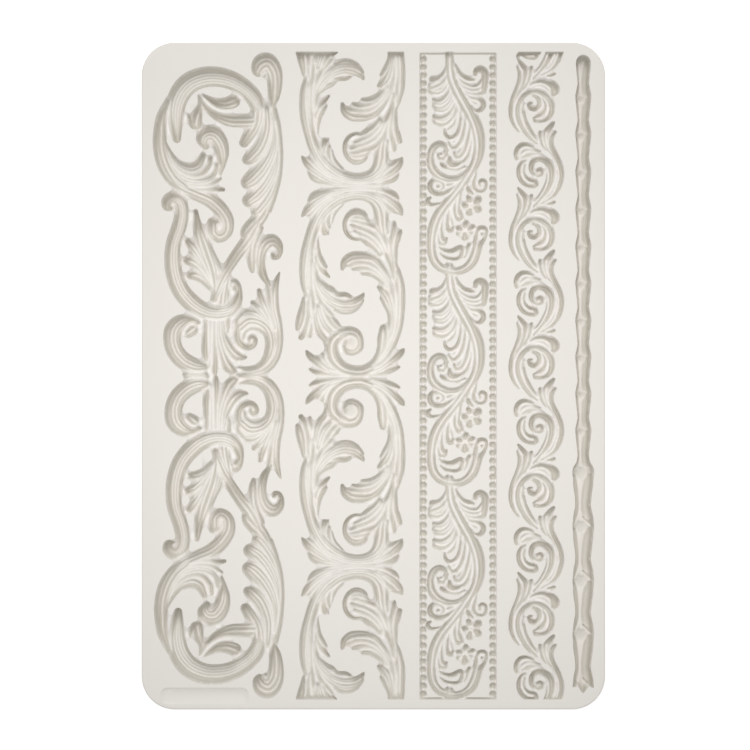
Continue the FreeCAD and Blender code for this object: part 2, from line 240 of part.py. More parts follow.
# One unit of the flower border, repeated three times.
FLOWER_SCROLL = (
    # main stem
    ((23.3, 101.6, 0.85), (23.3, 98, 0.7), (23.4, 95, 0.6), (24, 92.5, 0.6), (25.4, 89.2, 0.7),
     (27.3, 85.6, 0.7), (29.3, 82.2, 0.7), (31, 78.5, 0.6), (31.8, 75, 0.6), (32, 71.5, 0.6), (31.6, 68.2, 0.7),
     (30.3, 65.3, 0.7), (28.8, 62.9, 0.7), (26.8, 59.8, 0.8), (24.5, 56.9, 0.8), (22, 54.1, 0.9), (20, 51.3, 1),
     (18.6, 48.3, 1), (17.8, 45, 1), (17.6, 41.5, 0.9), (17.9, 38.3, 0.9), (19, 35.5, 0.9), (21, 33.6, 0.9),
     (24, 32.6, 0.9), (27, 32.6, 0.9), (29.7, 33.7, 0.9), (31.7, 35.8, 1), (32.8, 38.6, 1), (33.6, 41.2, 0.9),
     (34.9, 43.1, 0.6), (35.6, 44.9, 0.5), (35.4, 46.3, 0.6)),
    ((24.6, 101.6, 0.6), (24.9, 97, 0.7), (25.8, 93, 0.8), (27.4, 89.6, 0.9), (29.4, 86, 1), (31.2, 82.8, 1.1),
     (32.7, 79.6, 1.3), (33.7, 76.3, 1.3), (34, 72.5, 1.2), (33.5, 69, 1.1), (32.3, 66, 0.9), (30.8, 63.3, 0.7),
     (29.1, 60.8, 0.7), (27.3, 58.3, 0.7), (25.2, 55.6, 0.7), (23, 53, 0.7), (21.1, 50.2, 0.7), (19.8, 47, 0.7),
     (19.1, 43.5, 0.6), (19, 40, 0.6), (19.6, 37, 0.7), (21.1, 35, 0.7), (23.5, 33.8, 0.7), (26.3, 33.6, 0.7),
     (28.8, 34.6, 0.7), (30.6, 36.6, 0.8), (31.7, 39.4, 0.8), (32, 42.5, 0.7), (32.5, 45, 0.6),
     (33.4, 46.5, 0.8), (34.8, 46.6, 0.8)),
    ((34.1, 44.7, 0.6), (34.3, 44.6, 0.6)),
    # hand of lobes on the left
    ((22.6, 97, 0.3), (21.9, 95.1, 0.7), (20.4, 93.9, 0.8), (18.6, 93.3, 1.2)),
    ((23.3, 95, 0.3), (22.2, 93, 1), (20.6, 91.7, 1.9), (19.2, 91.1, 2.2)),
    ((23.7, 92.7, 0.3), (22.4, 90.5, 0.8), (20.4, 89.6, 1.2), (18.6, 89.9, 1.6)),
    ((18.9, 87, 0.6), (20.8, 86.8, 0.8), (22.5, 87.9, 0.8), (23.6, 89.6, 0.6), (24.2, 91.6, 0.2)),
    ((20, 85.2, 1.7), (21.4, 85.1, 1.8), (23.3, 86.4, 1.4), (24.5, 88.6, 0.8), (24.9, 90.5, 0.3)),
    ((19.9, 84, 1.1), (21.8, 83.6, 0.9), (23.8, 84.7, 0.8), (25, 86.7, 0.6), (25.5, 88.6, 0.2)),
    ((19.2, 81.7, 0.8), (21.4, 81.4, 0.8), (23.6, 82.5, 0.8), (25.2, 84.8, 0.6), (26, 87.4, 0.2)),
    ((20, 80.3, 1.6), (21.8, 79.9, 1.7), (24, 81, 1.3), (25.5, 83, 0.9), (26.5, 86, 0.3)),
    # three bent fingers below it
    ((22.4, 77.7, 0.4), (22.6, 76.1, 0.6), (23.8, 75, 0.7), (25.4, 75.4, 0.7), (26.7, 77, 0.7),
     (27.3, 79.7, 0.5), (27.5, 83, 0.2)),
    ((26.2, 82.4, 0.2), (25.7, 80.2, 0.4), (24.6, 78.6, 0.5), (23.3, 77.6, 0.4)),
    ((23.8, 73.7, 0.4), (24.2, 72.4, 0.6), (25.3, 71.8, 0.6), (26.8, 72.9, 0.7), (28, 75.4, 0.7),
     (28.7, 78.6, 0.5), (29.1, 82, 0.2)),
    ((25.1, 73.4, 0.4), (26.2, 74.6, 0.5), (27.1, 77, 0.4), (27.8, 80, 0.2)),
    ((25.4, 70.4, 0.5), (25.8, 69.2, 0.6), (27, 68.9, 0.6), (28.4, 70.4, 0.7), (29.5, 73.2, 0.7),
     (30.2, 76.6, 0.5), (30.4, 79.8, 0.2)),
    ((26.7, 70, 0.5), (27.6, 71.4, 0.4), (28.6, 74, 0.2)),
    ((28.2, 67.3, 0.4), (29.3, 68.7, 0.5), (30.4, 71.3, 0.5), (31, 74.5, 0.4), (31.1, 77.4, 0.2)),
    # hook and lobes on the right
    ((32, 94.8, 0.7), (32.4, 96.1, 1), (33.8, 96.5, 1.2), (35.1, 95.4, 1.2), (35.1, 93.3, 1.2),
     (34.9, 91.2, 1.1), (34.8, 89.4, 0.8)),
    ((25.8, 98, 0.4), (26.8, 95.8, 0.7), (28.4, 94.2, 0.8), (30.3, 93.5, 0.9), (31.7, 93.2, 0.4)),
    ((26.1, 95, 0.4), (27.5, 93.1, 0.5), (29.3, 91.9, 0.6), (31.3, 91.3, 0.6), (33, 91.7, 0.6),
     (33.9, 93, 0.5)),
    ((27, 92.2, 0.4), (28.8, 90.8, 0.5), (31, 90, 0.6), (33.2, 90.2, 0.5), (34.2, 91, 0.4)),
    ((28.2, 90.4, 0.4), (29.8, 89.2, 0.5), (32, 88.7, 0.6), (34, 89, 0.7)),
    ((29.2, 88.6, 0.4), (31, 87.6, 0.6), (32.8, 87.3, 0.8), (34.3, 86.4, 0.9), (34.6, 84.9, 0.9),
     (33.6, 83.6, 0.8), (32.2, 83.6, 0.5), (31, 84.4, 0.3)),
    ((30.1, 87, 0.4), (31.4, 86.2, 0.5), (32.9, 85.6, 0.3)),
    # ring on the left, with its eye and the drop inside it
    ((23.2, 71, 0.6), (22.4, 72.4, 0.9), (20.7, 73, 1.1), (18.9, 71.9, 1.2), (18, 69.5, 1.2), (18, 67, 1.3),
     (18.9, 64.8, 1.4), (20.8, 63, 1.4), (23.5, 62, 1.2), (26, 62.1, 1.1), (28.3, 63.2, 1), (30.2, 65.4, 0.8)),
    ((22.6, 70.8, 0.6), (22.8, 69.4, 0.6), (22, 68.4, 0.6), (20.7, 68.6, 0.6), (20.2, 69.8, 0.4)),
    ((21.1, 69.8, 0.6), (21.6, 69.8, 0.6)),
    ((21.3, 66.7, 0.6), (22.1, 66.1, 0.8), (24, 65.2, 0.4), (26.5, 64.9, 0.4), (28.8, 65.9, 0.4)),
    ((23.9, 68.6, 0.7), (24.1, 67, 1.1), (25.3, 66.5, 1.1), (27, 66.9, 0.7), (28.6, 68, 0.3)),
    # curl on the right
    ((32.6, 66, 0.3), (32.2, 63.5, 0.4), (31.6, 61, 0.6), (31.8, 59, 0.6), (33, 58.1, 0.5), (34.6, 58.2, 0.5),
     (35.4, 59.4, 0.5), (35.3, 61, 0.6), (34.2, 61.6, 0.7), (33.4, 60.9, 0.5), (33.6, 59.7, 0.4)),
    # small volute on the left
    ((18.6, 61.6, 0.7), (17.8, 60.3, 0.9), (18, 58.6, 0.9), (19.4, 57.5, 0.9), (21.7, 57.4, 0.9),
     (23.7, 58.2, 0.8), (25.5, 59.6, 0.6), (27, 61.1, 0.2)),
    ((19.3, 61.5, 0.6), (20.8, 61.3, 0.5), (21.9, 60.4, 0.5), (22.1, 59.2, 0.5), (21.2, 58.6, 0.3)),
    ((20.3, 59.6, 0.6), (20.5, 59.6, 0.6)),
    ((23.3, 60, 0.5), (24.8, 60.5, 0.6), (26.4, 61.1, 0.2)),
    ((18.1, 56.1, 0.4), (17.2, 55.6, 0.7), (17.1, 54.6, 0.8), (18.2, 53.9, 0.6), (20, 54.1, 0.5),
     (21.4, 54.5, 0.3)),
    # leaves that hang from the stem
    ((26.8, 57.6, 0.2), (25.9, 55.2, 0.4), (25.6, 52.5, 0.6), (26, 50.4, 0.7), (26.9, 49.3, 0.8),
     (27.8, 49.6, 0.7)),
    ((28.6, 60.2, 0.2), (27.5, 57.4, 0.4), (27, 54, 0.5), (27.1, 51.6, 0.8), (27.7, 50.2, 0.7)),
    ((23.9, 53.4, 0.15), (23.5, 50.5, 0.4), (23.3, 47.8, 0.6), (23.7, 46, 0.8), (24.6, 45.8, 0.8),
     (25, 46.8, 0.5)),
    ((24.5, 53.4, 0.15), (24.4, 50.5, 0.35), (24.7, 48, 0.4), (25.1, 46.6, 0.3)),
    ((22, 50.4, 0.15), (21.5, 47.5, 0.35), (21.5, 45, 0.5), (21.8, 43.2, 0.7), (22.6, 42.5, 0.7),
     (23.1, 43.4, 0.4)),
    ((20.5, 46, 0.15), (20.5, 43.5, 0.4), (20.9, 42, 0.6), (21.8, 41.4, 0.6), (22.9, 41.9, 0.4)),
    # flowers
    ((29.6, 59.2, 0.7), (30.3, 58.1, 0.8), (31.2, 57.3, 0.6)),
    ((30, 56.2, 1), (30.4, 55.2, 0.8)),
    ((33, 55.5, 1.3), (32.2, 54.6, 0.9)),
    ((32.9, 52.4, 1.3), (32.1, 53, 0.9)),
    ((30.2, 51.3, 1.15), (30.5, 52.3, 0.8)),
    ((28.5, 53.8, 1.15), (29.5, 53.6, 0.8)),
    ((30.8, 53.6, 0.8), (31.1, 53.6, 0.8)),
    ((30.8, 53.6, 2.2), (31.1, 53.6, 2.2)),
    ((29.1, 48.1, 1.1), (28.9, 47, 0.8)),
    ((31.2, 46.9, 1), (30.1, 46.3, 0.7)),
    ((31, 45, 0.8), (29.9, 45.3, 0.6)),
    ((28.8, 43.6, 1.3), (28.8, 44.8, 0.8)),
    ((26.8, 44.7, 0.9), (27.9, 45.3, 0.7)),
    ((26.7, 46.5, 1), (27.8, 46.2, 0.7)),
    ((28.7, 45.9, 0.7), (29, 45.9, 0.7)),
    ((28.7, 45.9, 2.1), (29, 45.9, 2.1)),
    # crescent below the flowers
    ((20.6, 40.5, 0.2), (22.2, 39.6, 0.6), (24.4, 39.3, 0.8), (26.4, 40.1, 0.9), (27.5, 40.4, 0.9),
     (28, 39, 0.8), (27.3, 37.4, 0.6)),
    ((20.8, 38.7, 0.2), (22.4, 37.4, 0.5), (24.6, 36.8, 0.6), (26.6, 37, 0.6), (28, 38, 0.5)),
    ((30.2, 41.3, 0.8), (29.5, 40.3, 0.6), (29.4, 38.8, 0.4), (28.6, 37.2, 0.3)),
)

# One unit of the vine border, repeated five times.
VINE = (
    # outer band on the left, with three tips at its head
    ((45.2, 97.6, 0.4), (46, 95.5, 0.7), (45.9, 93, 0.8), (45, 90.3, 0.8), (43.8, 87.3, 0.8), (43.2, 84, 0.8),
     (43.4, 81.3, 0.7), (44.4, 78.7, 0.5), (45.8, 76.9, 0.3)),
    ((45.5, 99.7, 0.4), (46.6, 98.3, 0.8), (47.9, 96.4, 1), (47.7, 93.6, 0.9), (46.7, 91, 0.8),
     (45.2, 88.5, 0.6), (44.2, 86, 0.4)),
    ((49.7, 97.3, 0.6), (49.3, 95, 0.6), (48.5, 92.6, 0.6), (47.2, 90.6, 0.5)),
    # comma on the right
    ((48.8, 91.3, 0.2), (50.4, 92.5, 0.5), (52.7, 93.1, 0.8), (54.8, 92.6, 1), (56.5, 91.7, 1.4),
     (57.2, 90.2, 1.5), (56.6, 88.9, 0.9)),
    ((57, 95.2, 0.5), (55.8, 94.8, 0.6), (54.6, 94.6, 0.3)),
    # upper volute
    ((51.5, 73.3, 0.4), (49.3, 75.2, 0.7), (47.4, 77.6, 0.8), (46, 80.3, 0.9), (45.4, 83.2, 0.9),
     (45.9, 86.2, 0.9), (47.5, 88.6, 0.9), (50, 89.8, 0.9), (52.7, 89.5, 1), (55, 87.8, 1.1), (56.1, 85.3, 1),
     (55.9, 82.8, 0.9), (54.7, 81, 0.7), (52.6, 80.3, 0.6), (50.8, 80.5, 0.7)),
    ((50.3, 81.3, 0.4), (51.5, 82, 0.4), (53, 82.7, 0.4), (54.1, 84.2, 0.4), (54.2, 86, 0.4),
     (53.5, 87.7, 0.3)),
    ((51.8, 74.2, 0.3), (50.4, 76, 0.5), (49, 78.3, 0.6), (47.9, 80.8, 0.5), (47.3, 83.3, 0.5)),
    ((48.8, 85.5, 0.6), (49.6, 84.4, 0.9), (51, 84.2, 0.9), (52.2, 85.3, 0.9), (52.2, 87, 0.9),
     (51.2, 88.3, 0.7), (50.4, 89, 0.5)),
    ((49, 86, 0.5), (49.9, 86.1, 0.4)),
    # leaf at the lower right
    ((52.4, 76.9, 0.6), (52.7, 75, 0.7), (53.3, 73, 0.6), (54.3, 71.2, 0.3)),
    ((56.6, 79.8, 0.6), (55.3, 78.6, 0.7), (54.1, 77.3, 0.6), (53.9, 75.5, 0.6), (54.2, 73.6, 0.6),
     (55, 71.6, 0.5), (56.2, 69.8, 0.3)),
    ((57.3, 77, 0.5), (56.3, 75.8, 0.8), (55.8, 74, 0.9), (56.2, 72, 0.9), (57.3, 69.8, 0.9), (58.4, 67.5, 0.9),
     (59.1, 65, 0.9), (59.2, 62.5, 0.8), (58.5, 60, 0.8), (57.5, 57.9, 0.6), (56.2, 56.4, 0.5),
     (54.3, 55.2, 0.4), (52.6, 54.3, 0.3)),
    ((55.6, 77.6, 0.7), (55, 75.6, 0.6), (55.2, 73.5, 0.5), (56, 71.5, 0.4)),
    # comma on the left
    ((45, 68.3, 0.45), (44.8, 69.9, 0.8), (45.3, 71.6, 0.9), (46.6, 72.8, 0.9), (48.3, 73, 0.7),
     (50.2, 72.4, 0.4)),
    ((45.8, 68.8, 0.4), (46.6, 70.3, 0.6), (48.3, 71.4, 0.7), (50.3, 71.4, 0.6), (52.5, 70.8, 0.4)),
    # lower volute
    ((48, 68, 0.3), (46.6, 67.2, 0.6), (45.8, 65.5, 0.8), (45.8, 63.3, 0.8), (46.8, 61.3, 0.8),
     (48.5, 60.1, 0.7), (50.5, 59.8, 0.7)),
    ((47.6, 66.6, 0.3), (47.3, 64.8, 0.4), (47.8, 63, 0.5), (49.2, 61.9, 0.7), (50.8, 61.5, 0.8),
     (51.3, 60.4, 0.7), (50.8, 59.8, 0.5)),
    ((51.4, 64.9, 0.5), (52.5, 65.2, 0.75), (53.2, 64.3, 0.75), (52.5, 63.4, 0.6), (51.2, 63.3, 0.5),
     (50, 64.2, 0.7), (49.6, 65.7, 0.85), (50.2, 67.6, 0.95), (52, 68.5, 1), (54.2, 67.9, 1.2), (55.9, 66, 1.3),
     (56.3, 63.3, 1.2), (55.6, 60.3, 1), (54, 57.5, 0.7), (52.1, 55.3, 0.5), (50.4, 53.3, 0.4)),
    ((54.4, 66, 0.2), (54.7, 64.2, 0.35), (54.5, 61.8, 0.4), (53.6, 59.4, 0.45), (52.2, 57, 0.45),
     (50.4, 55, 0.3)),
    ((56.4, 69.3, 0.2), (57.4, 67.2, 0.3), (58, 64.8, 0.35), (57.9, 62, 0.35), (57, 59.3, 0.4),
     (55.4, 57.1, 0.4), (53.2, 55.4, 0.3)),
)

# End of the vine at the upper cut, left of its stem.
VINE_END = (
    ((45.5, 99.6, 0.4), (45.6, 101, 0.6), (49, 101.5, 0.8), (52.2, 101.6, 0.6)),
)

# Joints of the bamboo rod: the heights of the short ones, then of the long ones.
SHORT_JOINTS = (99.8, 88.2, 76.5, 64.6, 52.8, 41.1, 29.5, 17.9, 6.3, -5.3, -16.9, -29)
LONG_JOINTS = (-30, -47, -64.1, -81.1, -98)
# Outline of a piece of the rod: (distance below its upper joint, half width).
SHORT_PIECE = ((0, 2.5), (1.8, 2.4), (4, 2.15), (6, 1.95), (8.2, 1.75), (10.4, 2))
LONG_PIECE = ((0, 3.4), (1.5, 3.25), (4, 3.1), (6.5, 2.75), (9, 2.35), (11.5, 2.25), (13.5, 2.45))
ROD_TOP = ((98.7, 2.3), (98, 2.35), (95.8, 2.15), (93.8, 1.95), (91.6, 1.75), (89.4, 2))
ROD_END = ((-96, 2.2), (-98, 1.2), (-99.6, 0.3))
ROD_TIPS = (
    ((64.3, -95, 1.3), (63.7, -96.7, 0.9), (62.9, -97.8, 0.3)),
    ((67.7, -95, 1.3), (68.3, -96.7, 0.9), (69.2, -98, 0.2)),
)
rod_middle = 66.0                                  # drawn x of the rod's middle

# How the drawn borders lie: the straight cuts at both ends, each border's left and right edge, and how its
# units repeat along it.
drawn_top, drawn_bottom = 102.0, -101.8
acanthus_drawn, broad_drawn, flower_drawn = (-69.6, -27.5), (-25.1, 10.2), (14.3, 38.9)
vine_drawn, bamboo_drawn = (42.2, 60.1), (62.6, 69.4)
acanthus_mirror, acanthus_shift = 0.15, 0.4        # mirror height of its lower half, and its sideways shift
broad_mirrors, broad_step = (59.6, -0.4), 119.3    # mirror heights of two units, and the step to the last one
flower_pitch, flower_count = 66.7, 4
vine_pitch, vine_drop, vine_units = 40.35, 0.2, range(-1, 6)

# Bead rows, their channels and the frame lines round the flower border.
bead_columns, bead_radius, bead_side = (15.65, 37.6), 1.18, 0.1
first_bead, bead_pitch, bead_count = 99.7, 2.528, 80
channel_columns, channel_half = (15.05, 38.2), 0.6
channel_top, channel_bottom = 101.1, -101.2
line_left, line_right, line_top, line_bottom = 14.9, 38.4, 101.3, -101.4
line_half = 0.4

cell = 0.4                                         # spacing of the grid on which the outlines are traced
reach = 3 * cell                                   # how far outside a groove its distance is kept
straightening = 0.1                                # how far a traced outline may be simplified
smallest_area = 1.0                                # an outline smaller than this is left out
fewest_corners = 3                                 # a straightened outline with fewer corners is left out
clearance_above = 1.0                              # how far a cutting solid stands above the open face
upright_share = 0.9                                # an edge that rises more steeply than this is upright
level_rise = 1e-6                                  # an edge that rises less than this is level


def mirrored(height, shift=0):
    """Turn that mirrors a unit about a height and moves it sideways."""
    return lambda x, y: (x + shift, 2 * height - y)


def moved(distance):
    """Turn that moves a unit down by a distance."""
    return lambda x, y: (x, y - distance)


def turned(grooves, *turns):
    """The grooves in each of their turns."""
    return [[(*turn(x, y), half) for x, y, half in points] for turn in turns for points in grooves]


def along(points):
    """Discs (x, y, radius) along the smooth curve through a groove's points."""
    discs = []
    last = len(points) - 1
    for i in range(last):
        a, b = points[i], points[i + 1]
        before, after = points[max(i - 1, 0)], points[min(i + 2, last)]
        steps = max(1, math.ceil(math.hypot(b[0] - a[0], b[1] - a[1]) / cell))
        for k in range(steps + (i == last - 1)):
            t = k / steps
            discs.append(tuple(
                (2 * t**3 - 3 * t**2 + 1) * a[n] + (3 * t**2 - 2 * t**3) * b[n]
                + (t**3 - 2 * t**2 + t) * (b[n] - before[n]) / 2 + (t**3 - t**2) * (after[n] - a[n]) / 2
                for n in range(3)))
    return discs


def near(centre, radius, start, count):
    """Places on the grid, which starts at a position and has a count of points, that lie near a disc."""
    return range(max(0, int((centre - radius - reach - start) / cell)),
                 min(count, int((centre + radius + reach - start) / cell) + 2))


def field_of(grooves):
    """Distance inside the grooves (negative outside) on a square grid."""
    discs = [disc for points in grooves for disc in along(points)]
    discs = [d for d in discs if drawn_bottom - d[2] < d[1] < drawn_top + d[2]]
    x0 = min(d[0] - d[2] for d in discs) - 2 * reach
    y0 = drawn_bottom - 2 * reach
    columns = math.ceil((max(d[0] + d[2] for d in discs) + 2 * reach - x0) / cell)
    rows = math.ceil((drawn_top + 2 * reach - y0) / cell)
    field = [[-reach] * columns for _ in range(rows)]
    for x, y, r in discs:
        for j in near(y, r, y0, rows):
            row = field[j]
            dy = y0 + j * cell - y
            for i in near(x, r, x0, columns):
                inside = r - math.hypot(x0 + i * cell - x, dy)
                if inside > row[i]:
                    row[i] = inside
    return x0, y0, field


def spread(field, pick):
    """Each value becomes the pick (max or min) of itself and its eight neighbours."""
    wide = [[pick(row[max(i - 1, 0):i + 2]) for i in range(len(row))] for row in field]
    return [[pick(column) for column in zip(*wide[max(j - 1, 0):j + 2])] for j in range(len(wide))]


def outlines(grooves):
    """Closed outlines of the grooves, slits narrower than two cells filled in, cut at both ends."""
    x0, y0, field = field_of(grooves)
    field = spread(spread(field, max), min)
    for j, row in enumerate(field):
        y = y0 + j * cell
        limit = min(drawn_top - y, y - drawn_bottom)
        field[j] = [min(value, limit) for value in row]

    def crossing(i, j, k, m):
        a, b = field[j][i], field[m][k]
        t = a / (a - b)
        return x0 + (i + t * (k - i)) * cell, y0 + (j + t * (m - j)) * cell

    follow, place = {}, {}
    for j in range(len(field) - 1):
        for i in range(len(field[0]) - 1):
            ring = ((i, j), (i + 1, j), (i + 1, j + 1), (i, j + 1))
            inside = [field[b][a] > 0 for a, b in ring]
            if all(inside) or not any(inside):
                continue
            entries, exits = [], []
            for n in range(4):
                p, q = ring[n], ring[(n + 1) % 4]
                if inside[n] != inside[(n + 1) % 4]:
                    key = (min(p, q), max(p, q))
                    place[key] = crossing(*min(p, q), *max(p, q))
                    (exits if inside[n] else entries).append((n, key))
            for n, key in exits:
                follow[key] = min(entries, key=lambda e: (n - e[0]) % 4)[1]
    loops = []
    while follow:
        key = next(iter(follow))
        loop = []
        while key in follow:
            loop.append(place[key])
            key = follow.pop(key)
        loops.append(loop)
    return loops


def area(loop):
    """Area inside a closed loop, negative if it runs clockwise."""
    return sum(a[0] * b[1] - b[0] * a[1] for a, b in zip(loop, loop[1:] + loop[:1])) / 2


def thinned(loop):
    """The loop without the points that lie close to a straight edge."""
    def keep(points):
        (ax, ay), (bx, by) = points[0], points[-1]
        span = math.hypot(bx - ax, by - ay) or 1.0
        off = [abs((bx - ax) * (ay - y) - (ax - x) * (by - ay)) / span for x, y in points[1:-1]]
        if not off or max(off) < straightening:
            return [points[0]]
        k = off.index(max(off)) + 1
        return keep(points[:k + 1]) + keep(points[k:])

    far = max(range(len(loop)), key=lambda i: math.dist(loop[0], loop[i]))
    return keep(loop[:far + 1]) + keep(loop[far:] + loop[:1])


def y_map(y):
    """Drawn height to height on the slab."""
    middle = (bottom_margin - top_margin) / 2
    return middle + (y - (drawn_top + drawn_bottom) / 2) * border_length / (drawn_top - drawn_bottom)


def pockets(grooves, depth, start, width, drawn):
    """Solids to cut: a border's outlines laid on the open face and carried down by its depth."""
    scale = width / (drawn[1] - drawn[0])
    wires = []
    for loop in outlines(grooves):
        if abs(area(loop)) > smallest_area:
            corners = [FreeCAD.Vector(start + (x - drawn[0]) * scale, y_map(y), slab_thickness - depth)
                       for x, y in thinned(loop)]
            if len(corners) >= fewest_corners:
                wires.append(Part.makePolygon(corners + corners[:1]))
    faces = Part.makeFace(Part.Compound(wires), "Part::FaceMakerBullseye")
    return faces.extrude(FreeCAD.Vector(0, 0, depth + clearance_above)).Solids


def upright(edge):
    """Whether an edge runs up the slab."""
    return abs(edge.tangentAt(0).z) > upright_share


def level(edge):
    """Whether an edge lies at one height."""
    return edge.BoundBox.ZLength < level_rise


# Left edge of each border on the slab.
acanthus_start = -slab_width / 2 + left_margin
broad_start = acanthus_start + acanthus_width + gap_acanthus_broad
flower_start = broad_start + broad_width + gap_broad_flower
vine_start = flower_start + flower_width + gap_flower_vine
bamboo_start = vine_start + vine_width + gap_vine_bamboo

acanthus = turned(ACANTHUS, moved(0), mirrored(acanthus_mirror, acanthus_shift))
broad_scroll = turned(BROAD_SCROLL, moved(0), *(mirrored(height) for height in broad_mirrors),
                      moved(broad_step))
flower_scroll = turned(FLOWER_SCROLL, *(moved(k * flower_pitch) for k in range(flower_count)))
vine = turned(VINE, *(moved(k * vine_pitch + vine_drop) for k in vine_units)) + list(VINE_END)

bead_heights = [first_bead - k * bead_pitch for k in range(bead_count)]
beads = [((x - bead_side, y, bead_radius), (x + bead_side, y, bead_radius))
         for x in bead_columns for y in bead_heights]
channels = [((x, channel_top, channel_half), (x, channel_bottom, channel_half)) for x in channel_columns]
channels += [((line_left, y, line_half), (line_right, y, line_half)) for y in (line_top, line_bottom)]

pieces = [(joint - down, half) for joint in SHORT_JOINTS[1:-1] for down, half in SHORT_PIECE]
pieces += [(joint - down, half) for joint in LONG_JOINTS[:-1] for down, half in LONG_PIECE]
rod = [[(rod_middle, y, half) for y, half in (*ROD_TOP, *pieces, *ROD_END)], *ROD_TIPS]

slab = Part.makeBox(slab_width, slab_length, slab_thickness,
                    FreeCAD.Vector(-slab_width / 2, -slab_length / 2, 0))
slab = slab.makeFillet(corner_radius, [edge for edge in slab.Edges if upright(edge)])
slab = slab.makeFillet(edge_rounding, [edge for edge in slab.Edges if level(edge)])

cuts = pockets(acanthus, acanthus_depth, acanthus_start, acanthus_width, acanthus_drawn)
cuts += pockets(broad_scroll, broad_depth, broad_start, broad_width, broad_drawn)
cuts += pockets(flower_scroll, flower_depth, flower_start, flower_width, flower_drawn)
cuts += pockets(beads, bead_depth, flower_start, flower_width, flower_drawn)
cuts += pockets(channels, bead_channel_depth, flower_start, flower_width, flower_drawn)
cuts += pockets(vine, vine_depth, vine_start, vine_width, vine_drawn)
cuts += pockets(rod, bamboo_depth, bamboo_start, bamboo_width, bamboo_drawn)

plaque = Part.makeBox(plaque_length, plaque_height, plaque_depth + clearance_above,
                      FreeCAD.Vector(-slab_width / 2 + plaque_inset, -slab_length / 2 + plaque_rise,
                                     slab_thickness - plaque_depth))
plaque = plaque.makeFillet(plaque_corner, [edge for edge in plaque.Edges if upright(edge)])

mould_body = slab.cut(Part.Compound(cuts + [plaque]))
mould_body.exportStep("parts/mould_body.step")
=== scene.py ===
import math

import bmesh
import bpy
import numpy as np
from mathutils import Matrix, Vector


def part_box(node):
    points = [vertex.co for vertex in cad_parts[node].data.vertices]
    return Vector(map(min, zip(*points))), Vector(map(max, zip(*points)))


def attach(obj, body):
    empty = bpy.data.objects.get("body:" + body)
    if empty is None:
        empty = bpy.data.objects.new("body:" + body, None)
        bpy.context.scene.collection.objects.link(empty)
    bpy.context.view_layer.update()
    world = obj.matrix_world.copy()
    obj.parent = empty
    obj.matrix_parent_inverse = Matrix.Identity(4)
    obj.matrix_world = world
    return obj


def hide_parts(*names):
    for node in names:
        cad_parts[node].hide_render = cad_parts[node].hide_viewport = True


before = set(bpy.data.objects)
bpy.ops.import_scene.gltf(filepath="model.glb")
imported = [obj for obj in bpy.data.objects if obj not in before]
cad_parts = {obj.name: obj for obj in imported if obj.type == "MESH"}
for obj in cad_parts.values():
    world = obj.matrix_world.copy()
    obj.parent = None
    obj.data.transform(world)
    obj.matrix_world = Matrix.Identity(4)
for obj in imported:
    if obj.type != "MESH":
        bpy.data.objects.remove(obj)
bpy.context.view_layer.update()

bl_info = {
    "name": "Silicone border mould",
    "version": (1, 0, 0),
    "blender": (4, 5, 0),
    "location": "View3D > Sidebar > Mould",
    "description": "Builds a flexible casting mould with five rows of recessed border ornament",
    "category": "Add Mesh",
}

MM = 0.001
low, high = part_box("mould_body")


# ---------------------------------------------------------------------------------------------------------
# Ornament: the borders, drawn in millimetres as grooves
# ---------------------------------------------------------------------------------------------------------

def groove(flutes, *points, depth=1.0):
    """A groove: how many flutes it has, its depth as a share of the border's, and its (x, y, half width) points."""
    return flutes, depth, points


